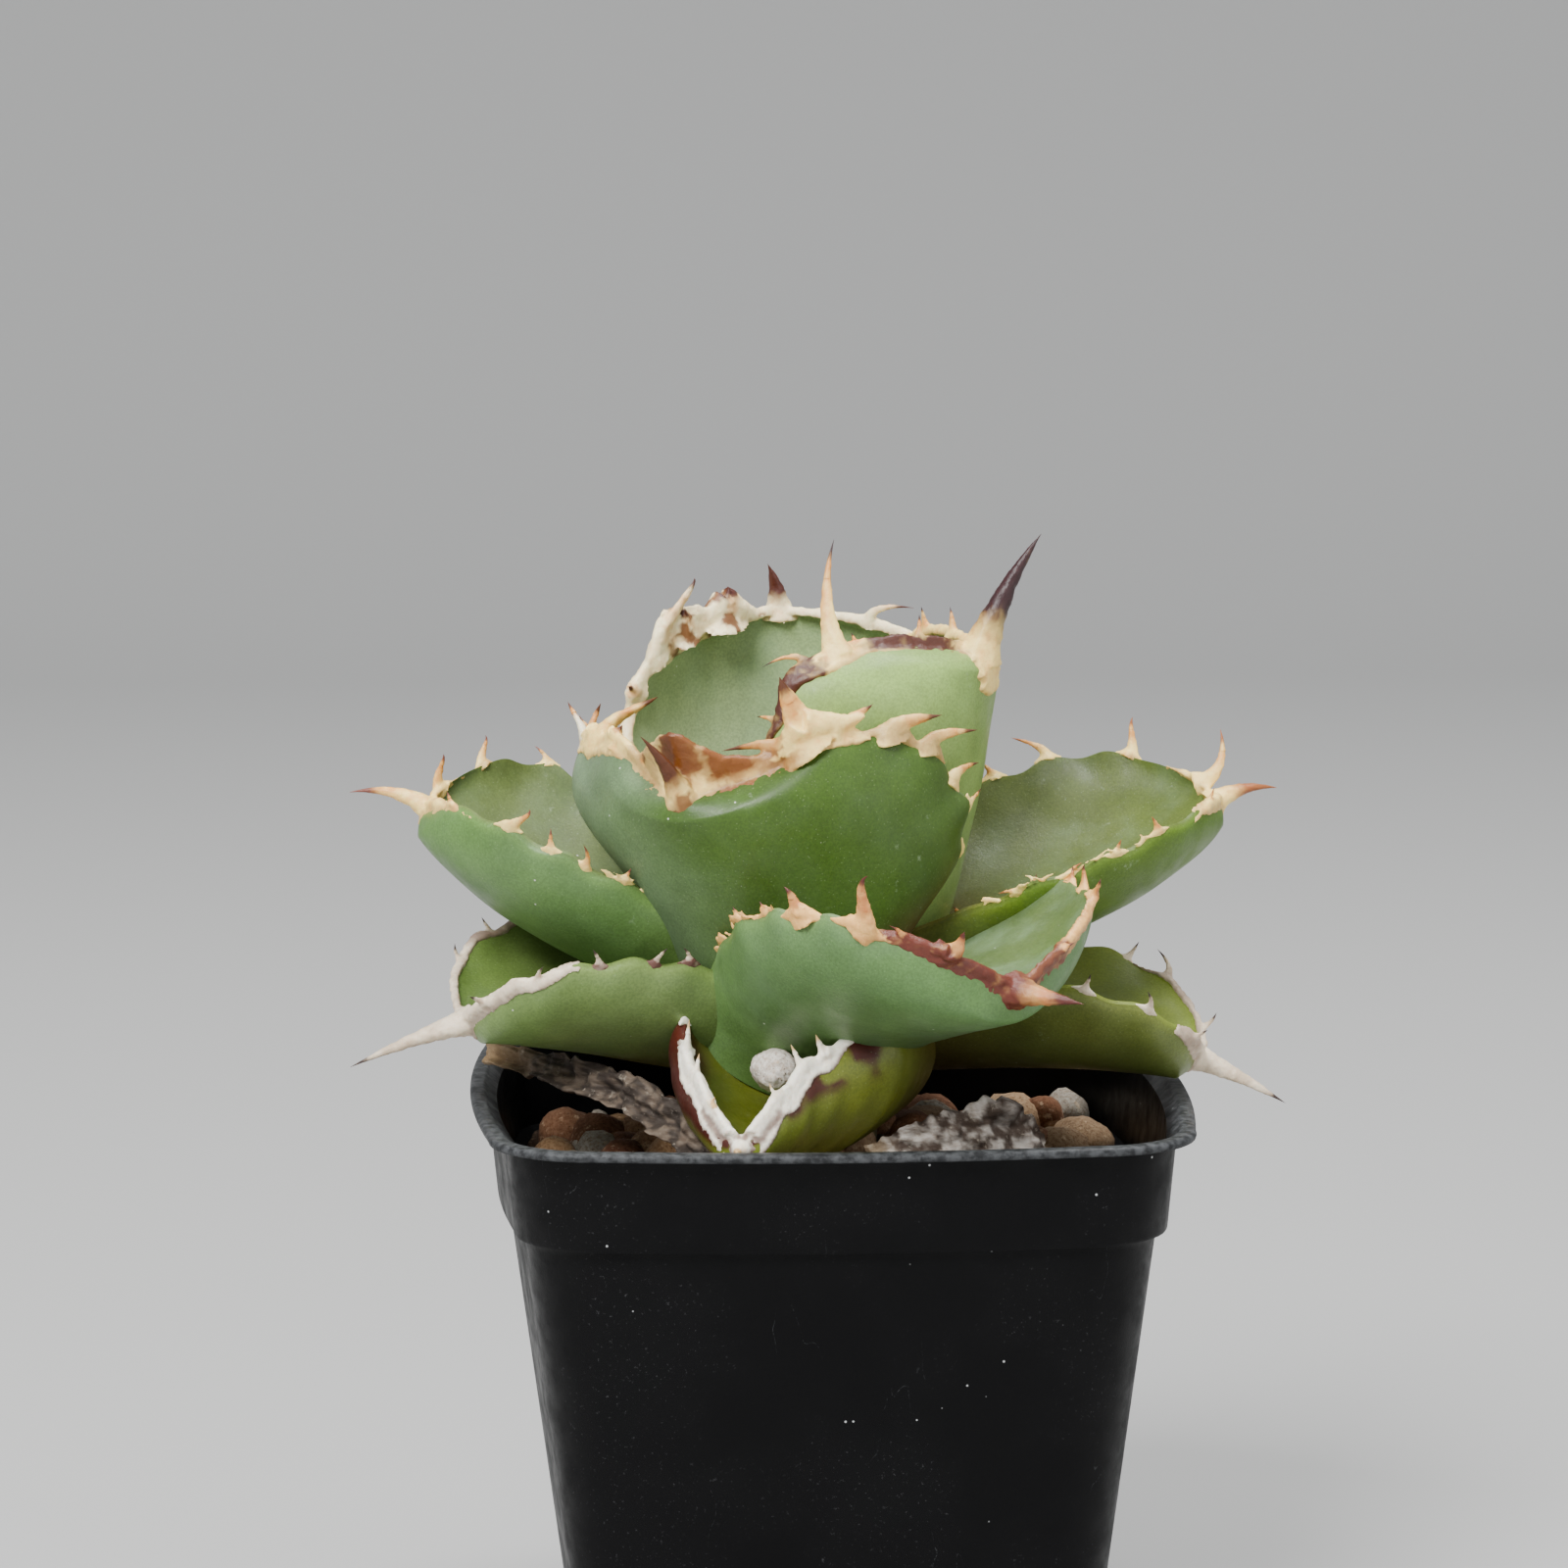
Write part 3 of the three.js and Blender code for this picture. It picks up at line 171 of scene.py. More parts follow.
# How each leaf looks: colours of its outer (under) and inner (upper) face and of its foot; how much
# pale bloom lies on it; where its horn strip ends on the two edges (mm from the tip); how deep the horn
# reaches in at the tip and how far along either edge (tongue); the horn's light, middle and tip
# colours and how chalky it is. Some leaves have more, with distances in mm from the tip:
# wide: where the strip is wider (edge, from, to, mm); crest: a plate of horn on the edge
# (along, height); threads: torn threads (edge, from, to, how many); brown: brown stretches (edge,
# from, to, amount, 1 if on top only) of brown_tone; stains (edge, from and to along it, from and to
# in from it, colour, amount, how patchy); maroon: the skin's rim; seam: how brown the horn is where
# it meets the skin; spine_dark, teeth_dark: the share of a spike that is dark; and patches of colour
# on the blade (along, across, their reach, face, colour, amount).
YOUNG_HORN = dict(light=(255, 222, 136), middle=(208, 122, 44), tip=(70, 24, 8), chalk=0.1)
OLD_HORN = dict(light=(232, 216, 190), middle=(138, 106, 78), tip=(56, 40, 34), chalk=0.6)
CHALK_HORN = dict(light=(255, 248, 230), middle=(222, 196, 156), tip=(200, 162, 110), chalk=0.9)
PURPLE = (88, 42, 38)
CREAM = (255, 238, 190)
LOOKS = dict(
    L0=dict(under=(140, 160, 105), upper=(150, 172, 120), foot=(150, 165, 110), bloom=0.5,
            strip=(30, 30), tongue=(2, 2, 2), horn=YOUNG_HORN),
    # L3's under (outer) face colour is painted lighter than its own green: painted light on a face turned
    # away from the key light
    L3=dict(under=(164, 196, 110), upper=(120, 152, 86), foot=(140, 172, 76), bloom=0.35,
            strip=(42, 30), tongue=(6, 4, 3), horn=YOUNG_HORN | dict(tip=(44, 10, 14)),
            wide=[(-1, 0, 16, 1.9), (-1, 18, 26, 2.4)], brown_tone=(72, 32, 18),
            brown=[(-1, 3, 17, 1.0, 1), (-1, 23, 42, 1.0, 0)], spine_dark=0.94, teeth_dark=0.2),
    # L2's upper (inner) face colour is painted lighter than its own glaucous green: painted light on a face
    # that the studio's light barely reaches
    L2=dict(under=(106, 132, 72), upper=(184, 206, 152), foot=(164, 188, 124), bloom=0.8,
            strip=(34, 40), tongue=(2.5, 3, 3), horn=YOUNG_HORN | dict(light=CREAM, middle=(228, 172, 110)),
            crest=[(6, 0.8), (8, 2.0), (12, 3.0), (16, 4.6), (20, 6.0), (22, 5.0), (24, 0.8)],
            wide=[(1, 7, 21, 5.5), (1, 21, 34, 1.8)], spine_dark=0.8,
            stains=[(1, 8, 20, 0.8, 5, (116, 66, 24), 0.95, 1)]),
    L1=dict(under=(78, 108, 36), upper=(118, 144, 84), foot=(92, 120, 50), bloom=0.3,
            strip=(40, 24), tongue=(1.6, 3, 3), horn=YOUNG_HORN | dict(tip=(84, 40, 10)),
            crest=[(-9, 1.6), (-6, 4.8), (-3, 7.0), (0, 8.5), (2.8, 6.2), (5.5, 4.0), (8.5, 2.6), (11, 1.8),
                   (15, 1.7), (18.5, 1.2)],
            wide=[(1, 13, 22, 2.2), (-1, 14, 29, 2.0), (-1, 30, 36, 3.6)], spine_dark=0.9,
            brown=[(-1, 3, 12, 0.6, 1), (1, 10, 14, 0.8, 1), (1, 24, 40, 0.6, 1)],
            stains=[(1, -2, 3, 2.8, 11, (116, 64, 14), 1.0, 0), (1, 3, 10, 1.2, 9, (122, 68, 16), 1.0, 0),
                    (1, 10, 16, 0.6, 5, (140, 84, 26), 0.7, 0.4),
                    (1, -2, 0.8, 0, 11, (108, 58, 14), 0.9, 0),
                    (-1, -2, 2.4, 2.6, 11, (92, 46, 12), 1.0, 0),
                    (-1, 31, 35, 0, 4, (240, 232, 206), 0.9, 0)],
            patches=[(0.66, -0.8, 0.55, 0, (150, 176, 142), 1.0),
                     (0.3, 0.72, 0.3, 0, (126, 80, 56), 0.95)]),
    L5=dict(under=(100, 132, 36), upper=(98, 112, 50), foot=(118, 94, 44), bloom=0.4,
            strip=(14, 9), tongue=(3, 3, 3), horn=YOUNG_HORN | dict(tip=(150, 84, 36)), spine_dark=0.75,
            threads=[(-1, 24, 50, 22)],
            patches=[(0.15, 0, 0.4, 0, (110, 84, 42), 0.7), (0.1, 0, 0.35, 1, (122, 104, 62), 0.6)]),
    L4=dict(under=(110, 148, 82), upper=(108, 124, 70), foot=(116, 142, 62), bloom=0.35,
            strip=(7, 8), tongue=(3, 3, 3), horn=YOUNG_HORN | dict(tip=(120, 64, 50)),
            threads=[(1, 36, 58, 26)],
            patches=[(0.5, 0.1, 0.25, 1, (142, 140, 76), 0.5)]),
    L6=dict(under=(112, 150, 90), upper=(104, 126, 74), foot=(112, 150, 76), bloom=0.8,
            strip=(24, 22), tongue=(3, 4, 4), horn=dict(light=(246, 190, 112), middle=(176, 92, 40),
            tip=(84, 32, 22), chalk=0.15), brown=[(-1, -4, 21, 1.0, 0), (1, -4, 10, 0.95, 0)],
            brown_tone=(96, 38, 22), spine_dark=0.5, threads=[(-1, 36, 60, 30)]),
    R1=dict(under=(88, 122, 52), upper=(108, 134, 76), foot=(106, 138, 60), bloom=0.4,
            strip=(18, 18), tongue=(3, 3, 3), horn=dict(light=(224, 184, 134), middle=(168, 116, 80),
            tip=(84, 44, 36), chalk=0.3), threads=[(-1, 30, 50, 14), (1, 30, 50, 14)]),
    L7=dict(under=(134, 162, 92), upper=(112, 136, 68), foot=(90, 116, 44), bloom=0.25,
            strip=(34, 24), tongue=(3, 3, 3), horn=OLD_HORN, brown_tone=PURPLE, spine_dark=0.18,
            brown=[(1, 24, 46, 0.95, 0), (-1, 16, 30, 0.7, 0)]),
    L8=dict(under=(124, 136, 64), upper=(136, 150, 58), foot=(96, 78, 36), bloom=0.15,
            strip=(13, 22), tongue=(3, 3, 3), horn=OLD_HORN, brown_tone=PURPLE, spine_dark=0.18,
            brown=[(-1, 6, 13, 0.5, 1), (1, 8, 20, 0.5, 1)],
            patches=[(0.25, -0.3, 0.45, 0, (88, 72, 38), 0.7)]),
    R2=dict(under=(92, 116, 40), upper=(104, 124, 50), foot=(102, 124, 46), bloom=0.25,
            strip=(26, 26), tongue=(3, 3, 3), horn=OLD_HORN, brown_tone=PURPLE, spine_dark=0.18,
            brown=[(1, 18, 40, 0.6, 0), (-1, 20, 40, 0.5, 0)]),
    L9=dict(under=(130, 140, 46), upper=(112, 120, 34), foot=(86, 68, 30), bloom=0.1,
            strip=(22, 22), tongue=(1.5, 2, 2), horn=CHALK_HORN, maroon=(86, 34, 24), seam=0.8,
            brown_tone=(92, 46, 34), threads=[(1, 18, 28, 14)]),
    R3=dict(under=(116, 130, 38), upper=(106, 120, 40), foot=(84, 70, 32), bloom=0.1,
            strip=(22, 22), tongue=(2, 2, 2), horn=CHALK_HORN | dict(chalk=0.8), maroon=(92, 44, 32)),
)

# The greens and browns in the tables were read in half light; the studio's light is this much stronger
IN_STUDIO = 0.62

# How finely things are made
ROWS_LOW = 34           # rows of a blade below and above its widest place
ROWS_HIGH = 44
ACROSS = 49
HORN_VOXEL = 0.24       # mm
HORN_FACES = 20000      # triangles left on one horn
EDGE_ROWS = (40, 50)    # rows along the line that the horn follows
STRIP_STEP = 0.4        # mm from one ring of the horn strip to the next
CAP_ROWS = 34           # rows of the horn over a leaf's tip
CAP_ACROSS = 61
TOOTH_STEPS = 22        # rings of a tooth, a toe at its foot, a thread, a crest and a spine
TOE_STEPS = 8
THREAD_STEPS = 10
CREST_STEPS = 60
SPINE_STEPS = 34
CORNER_STEPS = 12       # points round one corner of the pot and along one side
SIDE_STEPS = 14
LOOSE_GRAINS = 260      # small grains between the stones


# Small helpers
def unit(v):
    return v / np.maximum(np.linalg.norm(v, axis=-1, keepdims=True), 1e-12)


def smooth(x, a, b):
    """0 at a, 1 at b, with no corner between."""
    u = np.clip((x - a) / (b - a), 0, 1)
    return u * u * (3 - 2 * u)


def mix(a, b, k):
    return a + (b - a) * k


def blend(a, b, k):
    """Rows of a moved towards b by the share k of each row."""
    return a + (np.asarray(b, float) - a) * np.asarray(k)[:, None]


def linear(rgb):
    """A screen colour from 0 to 255 as light."""
    c = np.array(rgb, float) / 255
    return np.where(c <= 0.04045, c / 12.92, ((c + 0.055) / 1.055) ** 2.4)


def chance(a, b=0):
    """A repeatable number from 0 to 1 for any two numbers, the same as in the part."""
    v = math.sin(a * 127.1 + b * 311.7 + 17.3) * 43758.5453
    return v - math.floor(v)


def cloud(points, size, seed=0.0, detail=1):
    """Soft noise from about -1 to 1 at points in mm, with lumps of the given size."""
    scaled = points / size + seed * 7.31
    return np.array([noise.fractal(Vector(p), 0.9, 2.0, detail) for p in scaled])


def loft(rings):
    """A closed shell through rings with the same number of points: (points, faces)."""
    count, around = rings.shape[:2]
    faces = []
    for i in range(count - 1):
        a = i * around
        for j in range(around):
            k = (j + 1) % around
            faces.append((a + j, a + k, a + around + k, a + around + j))
    last = (count - 1) * around
    faces.append(tuple(range(around - 1, -1, -1)))
    faces.append(tuple(range(last, last + around)))
    return rings.reshape(-1, 3), faces


def facing_out(points, faces):
    volume = 0.0
    for f in faces:
        a = points[f[0]]
        for i in range(1, len(f) - 1):
            volume += np.dot(a, np.cross(points[f[i]], points[f[i + 1]]))
    return faces if volume > 0 else [tuple(reversed(f)) for f in faces]


def make(name, *shells):
    """One object of closed shells, each (points in mm, faces)."""
    points, faces = [], []
    for p, f in shells:
        start = sum(len(q) for q in points)
        points.append(np.asarray(p, float))
        faces += [tuple(start + i for i in g) for g in facing_out(p, f)]
    mesh = bpy.data.meshes.new(name)
    mesh.from_pydata((np.concatenate(points) * MM).tolist(), [], faces)
    mesh.update()
    piece = bpy.data.objects.new(name, mesh)
    bpy.context.scene.collection.objects.link(piece)
    return piece


def apply_modifiers(piece):
    shown = piece.evaluated_get(bpy.context.evaluated_depsgraph_get())
    mesh = bpy.data.meshes.new_from_object(shown)
    piece.modifiers.clear()
    old, piece.data = piece.data, mesh
    bpy.data.meshes.remove(old)


def corners(piece):
    """A piece's points in mm."""
    co = np.empty(len(piece.data.vertices) * 3, np.float32)
    piece.data.vertices.foreach_get("co", co)
    return co.reshape(-1, 3).astype(float) / MM


def normals(piece):
    n = np.empty(len(piece.data.vertices) * 3, np.float32)
    piece.data.vertex_normals.foreach_get("vector", n)
    return n.reshape(-1, 3).astype(float)


def move_to(piece, points):
    piece.data.vertices.foreach_set("co", (points * MM).astype(np.float32).ravel())
    piece.data.update()


def boxes_meet(a, b):
    p, q = corners(a), corners(b)
    return bool(np.all(p.min(0) <= q.max(0)) and np.all(q.min(0) <= p.max(0)))


def carve(piece, cutters):
    """Cuts the cutters out of the piece."""
    for cutter in cutters:
        if boxes_meet(piece, cutter):
            cut = piece.modifiers.new("cut", "BOOLEAN")
            cut.operation = "DIFFERENCE"
            cut.solver = "MANIFOLD"
            cut.object = cutter
    apply_modifiers(piece)


def keep_largest(piece):
    """Drops what a cut has severed."""
    bm = bmesh.new()
    bm.from_mesh(piece.data)
    left = set(bm.verts)
    islands = []
    while left:
        stack = [left.pop()]
        island = set(stack)
        while stack:
            for e in stack.pop().link_edges:
                for v in e.verts:
                    if v in left:
                        left.discard(v)
                        island.add(v)
                        stack.append(v)
        islands.append(island)
    largest = max(islands, key=len)
    bmesh.ops.delete(bm, geom=[v for v in bm.verts if v not in largest], context="VERTS")
    bm.to_mesh(piece.data)
    bm.free()


def soften(piece, sharp=50):
    """Smooth shading, with the edges sharper than so many degrees left crisp."""
    bm = bmesh.new()
    bm.from_mesh(piece.data)
    for f in bm.faces:
        f.smooth = True
    for e in bm.edges:
        e.smooth = len(e.link_faces) == 2 and e.calc_face_angle(0) < math.radians(sharp)
    bm.to_mesh(piece.data)
    bm.free()


def nearest(samples, points):
    """For each point the number of the nearest sample and its distance."""
    tree = kdtree.KDTree(len(samples))
    for i, p in enumerate(samples):
        tree.insert(p, i)
    tree.balance()
    found = [tree.find(p) for p in points]
    return np.array([f[1] for f in found]), np.array([f[2] for f in found])


def paint(piece, name, colours):
    drop_layer(piece, name)
    layer = piece.data.color_attributes.new(name, "FLOAT_COLOR", "POINT")
    rgba = np.ones((len(colours), 4), np.float32)
    rgba[:, :3] = np.clip(colours, 0, 1)
    layer.data.foreach_set("color", rgba.ravel())


def drop_layer(piece, name):
    """A cut hands the cutter's layers on to what it cut."""
    if name in piece.data.attributes:
        piece.data.attributes.remove(piece.data.attributes[name])


def value(piece, name, values):
    drop_layer(piece, name)
    layer = piece.data.attributes.new(name, "FLOAT", "POINT")
    layer.data.foreach_set("value", np.asarray(values, np.float32))


def settle(piece, material, slot, *nodes):
    """Gives a finished piece its material and its body, and hides the solids that it stands for."""
    piece.data.materials.clear()
    piece.data.materials.append(material)
    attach(piece, "root")
    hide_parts(*nodes)


# The leaf formula
def middle_line(leaf, t):
    p = np.array(leaf["line"], float)
    u = 1 - t
    weights = np.stack([u ** 3, 3 * u * u * t, 3 * u * t * t, t ** 3], 1)
    r, z = (weights @ p).T
    turn = math.radians(leaf["az"])
    away = np.array([math.cos(turn), math.sin(turn), 0])
    beside = np.array([-away[1], away[0], 0])
    sideways = leaf.get("shift", 0) * t * t + leaf.get("foot", 0) * u
    start = np.stack([np.full_like(t, AXIS_X), np.zeros_like(t), z], 1)
    return start + r[:, None] * away + sideways[:, None] * beside


def leaf_frame(leaf, t):
    """Middle of the upper face, direction of growth, across, and out of the upper face."""
    step = 1e-3
    T = unit(middle_line(leaf, np.minimum(t + step, 1)) - middle_line(leaf, np.maximum(t - step, 0)))
    turn = math.radians(leaf["az"])
    beside = np.array([-math.sin(turn), math.cos(turn), 0])
    flat = unit(np.cross(T, np.cross(beside, T)))
    normal = np.cross(T, flat)
    r0, r1 = leaf.get("roll", (0, 0))
    roll = np.radians(mix(r0, r1, t))[:, None]
    across = flat * np.cos(roll) + normal * np.sin(roll)
    out = normal * np.cos(roll) - flat * np.sin(roll)
    return middle_line(leaf, t), T, across, out


def half_width(leaf, t):
    tm = leaf["tm"]
    rise = mix(leaf["wb"], 1, 0.5 - 0.5 * np.cos(np.pi * np.minimum(t / tm, 1)))
    v = np.clip((t - tm) / (1 - tm), 0, 1)
    return leaf["w"] * rise * (1 - v ** leaf.get("tp", TIP_POWER)) ** leaf.get("tq", TIP_ROUND)


def upper_face(leaf, t, s):
    """Points of the upper face, s from -1 to 1 across, and its normals there. The edges rise and
    fall a little between the teeth, as they do on the plant."""
    def of_half(key):
        left, right = leaf.get(key, (0, 0))
        return np.where(s < 0, left, right)

    centre, T, across, out = leaf_frame(leaf, t)
    c0, c1, c2 = leaf["cup"]
    cup = np.maximum(c0 * (1 - t) * (1 - 2 * t) + 4 * c1 * t * (1 - t) + c2 * t * (2 * t - 1), 0.001)
    angle = 2 * np.arctan(cup)
    w = half_width(leaf, t)
    swing = 2 * np.pi * t * LEAF_LENGTH / TOOTH_SPACING + leaf["az"] + 2 * np.sign(s)
    near_edge = np.abs(s) ** 4 * smooth(t, 0.15, 0.4) * smooth(t, 0.98, 0.85)
    w = w * (1 + 0.015 * near_edge * np.sin(swing))
    rho = np.where(angle < np.pi / 2, w / np.sin(np.minimum(angle, np.pi / 2)), w)
    vee = leaf.get("vee", 0)
    x = rho * np.sin(s * angle) * (1 - of_half("narrow") * smooth(t, *NARROWING))
    x *= 1 - of_half("waist") * smooth(t, *WAIST_START) * smooth(t, *WAIST_END)
    z = rho * (1 - np.cos(s * angle)) * (1 - vee) + cup * w * np.abs(s) * vee
    z = z + WAVE * near_edge * np.sin(swing + 1)
    left, right = (smooth(t, *rise) * smooth(t, *fall) for rise, fall in zip(LOBE_RISE, LOBE_FALL))
    lobe = of_half("lobe") * np.where(s < 0, left, right) * s * s
    normal = out * np.cos(s * angle)[:, None] - across * np.sin(s * angle)[:, None]
    return centre + across * x[:, None] + out * z[:, None] + T * lobe[:, None], normal


def thickness(leaf, t, s):
    run = (1 - 0.62 * t * t) * np.minimum(1, 0.25 + 6 * (1 - t) ** 0.6)
    return leaf["th"] * run * np.maximum(1 - s * s, 0) ** 0.75 + EDGE_THICK


def leaf_rows(leaf, low, high, narrowest=0.02):
    tm = leaf["tm"]
    below = tm * np.arange(low) / low
    share = np.maximum(np.cos(np.pi / 2 * np.arange(high + 1) / high), narrowest)
    v = (1 - share ** (1 / leaf.get("tq", TIP_ROUND))) ** (1 / leaf.get("tp", TIP_POWER))
    return np.concatenate([below, tm + (1 - tm) * v])


def blade(leaf):
    """The green blade, with what is needed to colour it: t, s and face (1 is the upper) of each
    of its points."""
    rows = leaf_rows(leaf, ROWS_LOW, ROWS_HIGH)
    s = np.sin(np.pi / 2 * np.linspace(-1, 1, ACROSS))
    T, S = np.meshgrid(rows, s, indexing="ij")
    t, u = T.ravel(), S.ravel()
    top, normal = upper_face(leaf, t, u)
    under = top - normal * thickness(leaf, t, u)[:, None]
    lumps = 0.22 * cloud(under, 9.0, leaf["az"]) * (1 - np.abs(u) ** 6)
    under -= normal * lumps[:, None]
    folds = leaf.get("folds", 0) * np.sin(46 * t + 3 * u) * smooth(t, 0.25, 0.4) * smooth(t, 0.95, 0.75)
    under -= normal * (folds * (1 - np.abs(u) ** 6))[:, None]
    top += normal * (0.12 * cloud(top, 7.0, leaf["az"] + 3) * (1 - np.abs(u) ** 6))[:, None]
    top, under = top.reshape(*T.shape, 3), under.reshape(*T.shape, 3)
    right = mix(top[:, -1:], under[:, -1:], 0.5)
    left = mix(top[:, :1], under[:, :1], 0.5)
    right = right + 0.3 * unit(right - top[:, -6:-5])
    left = left + 0.3 * unit(left - top[:, 5:6])
    rings = np.concatenate([top, right, under[:, ::-1], left], 1)
    one = np.ones((len(rows), 1))
    where_s = np.concatenate([S, one, S[:, ::-1], -one], 1).ravel()
    where_t = np.repeat(rows, 2 * ACROSS + 2)
    face = np.concatenate([np.ones_like(S), 0.5 * one, np.zeros_like(S), 0.5 * one], 1).ravel()
    shape = loft(rings)
    return make("leaf_skin_" + leaf["name"], shape), shape[0], where_t, where_s, face


def edge_path(leaf, side):
    """One edge from foot to tip: points, out, along, up, and the distance still to go."""
    t = leaf_rows(leaf, *EDGE_ROWS, 0)
    P, up = upper_face(leaf, t, np.full_like(t, side))
    P = P - up * EDGE_THICK / 2
    along = unit(np.gradient(P, axis=0))
    out = unit(side * np.cross(up, along))
    steps = np.linalg.norm(np.diff(P, axis=0), axis=1)
    togo = np.concatenate([np.cumsum(steps[::-1])[::-1], [0]])
    return dict(P=P, out=out, along=along, up=up, togo=togo, t=t)


def edge_at(path, togo):
    """The edge's place and directions at so many mm from the tip; togo is an array."""
    order = path["togo"][::-1]
    found = {}
    for key in ("P", "out", "along", "up"):
        columns = [np.interp(togo, order, path[key][::-1, k]) for k in range(3)]
        found[key] = np.stack(columns, -1)
    for key in ("out", "along", "up"):
        found[key] = unit(found[key])
    return found


# Horn
def spike(path, radii, flat, thin, around=12):
    """A tapering shell along a path; it is thinner in the direction flat."""
    along = unit(np.gradient(path, axis=0))
    a = unit(flat - along * (along @ flat)[:, None])
    b = np.cross(along, a)
    turn = np.linspace(0, 2 * np.pi, around, endpoint=False)
    ring = a[:, None] * (thin * np.cos(turn))[None, :, None] + b[:, None] * np.sin(turn)[None, :, None]
    return loft(path[:, None] + ring * radii[:, None, None])


def curve(points, count):
    """A smooth path through three or four control points."""
    u = np.linspace(0, 1, count)[:, None]
    p = [np.asarray(q, float) for q in points]
    if len(p) == 3:
        return p[0] * (1 - u) ** 2 + 2 * p[1] * u * (1 - u) + p[2] * u * u
    return p[0] * (1 - u) ** 3 + 3 * p[1] * u * (1 - u) ** 2 + 3 * p[2] * u * u * (1 - u) + p[3] * u ** 3


def teeth_of(leaf, side, length):
    own = [t for t in leaf.get("teeth", ()) if t[0] == side]
    teeth = [(t[1], t[2], t[3], t[4], t[5] if len(t) > 5 else 2.0, t[6] if len(t) > 6 else None)
             for t in own]
    togo = TOOTH_SPACING
    while togo < length - 2:
        if all(abs(t[1] - togo) >= 0.7 * TOOTH_SPACING for t in own):
            h = chance(togo + side * 3, leaf["az"])
            g = chance(togo * 1.7 + side, leaf["az"] + 5)
            out = (1.8 + 2.2 * h) * mix(1, 0.6, togo / length)
            teeth.append((togo, out, 2.4 * (g - 0.6), 0.5 + 0.6 * h, 2.4, None))
        togo += TOOTH_SPACING
    return teeth


def both_faces(leaf, t, s):
    """Points of the upper and the under face there, and the upper face's normals."""
    upper, normal = upper_face(leaf, t, s)
    return upper, upper - normal * thickness(leaf, t, s)[:, None], normal


def edge_strip(leaf, side, path, togo, cover, proud):
    """Horn that wraps an edge: it lies so many mm in over both faces, frays out there, and stands
    proud of the edge. Returns the shell, the edge's place and directions, and the border points."""
    t = np.interp(togo, path["togo"][::-1], path["t"][::-1])
    at = edge_at(path, togo)
    one = np.full_like(t, side)
    per_s = np.linalg.norm(upper_face(leaf, t, one)[0] - upper_face(leaf, t, 0.9 * one)[0], axis=1) / 0.1
    cover = np.minimum(cover, 0.85 * per_s)
    above, below = [], []
    for share, lift in ((1.0, -0.12), (0.85, 0.22), (0.45, 0.38), (0.1, 0.46)):
        upper, _, normal = both_faces(leaf, t, one * (1 - 0.7 * cover * share / per_s))
        above.append(upper + normal * lift)
        _, under, normal = both_faces(leaf, t, one * (1 - cover * share / per_s))
        below.append(under - normal * lift)
    outer = [at["P"] + at["out"] * (proud * a)[:, None] + at["up"] * b
             for a, b in ((0.62, 0.72), (1.0, 0.3), (1.0, -0.3), (0.62, -0.72))]
    shell = loft(np.stack(above + outer + below[::-1], 1))
    return shell, at, np.concatenate([above[0], below[0]])


def cover_at(leaf, side, togo, P):
    """How far in over the face the horn reaches, in mm, at so many mm from the tip along an edge."""
    look = LOOKS[leaf["name"]]
    usual = 0.52 * leaf["horn"][1]
    cover = np.full(len(P), usual)
    for on, start, end, wide in look.get("wide", []):
        share = smooth(togo, start - 1.5, start + 2) * smooth(togo, end + 3, end - 2)
        cover += (wide - usual) * share * (side == on)
    deep, left, right = look["tongue"]
    run = np.where(side < 0, left, right)
    cover = np.maximum(cover, deep * (1 - togo / run))
    return cover + 0.22 * usual * cloud(P, 2.2, leaf["az"], 2) + 0.2 * cloud(P, 0.9, leaf["az"] + 2)


def tip_cap(leaf, paths):
    """Horn that caps the blade's tip: it stands off the skin as far in from the edge as the horn
    reaches there, and beyond that lies inside the leaf. Returns the shell and samples of it."""
    deep, left, right = LOOKS[leaf["name"]]["tongue"]
    down = np.linspace(1, 0.06, CAP_ROWS) ** 1.7
    V, S = np.meshgrid(down, np.sin(np.pi / 2 * np.linspace(-1, 1, CAP_ACROSS)), indexing="ij")
    s = S.ravel()
    t = 1 - V.ravel() * (deep + 3) / LEAF_LENGTH
    upper, under, normal = both_faces(leaf, t, s)
    edge = np.concatenate([p["P"] for p in paths])
    togo = np.concatenate([p["togo"] for p in paths])
    sides = np.repeat([-1, 1], [len(p["P"]) for p in paths])
    rows, samples = [], []
    for P, out, share in ((upper, normal, 0.5), (under, -normal, 1.0)):
        which, away = nearest(edge, P)
        reach = share * cover_at(leaf, sides[which], togo[which], P)
        lift = mix(-0.8, 0.5, smooth(reach - away, -0.5, 0.6))
        rows.append((P + out * lift[:, None]).reshape(*V.shape, 3))
        near = np.abs(reach - away) < 0.35
        samples.append((P, togo[which], sides[which], normal, near))
    return loft(np.concatenate([rows[0], rows[1][:, ::-1]], 1)), samples


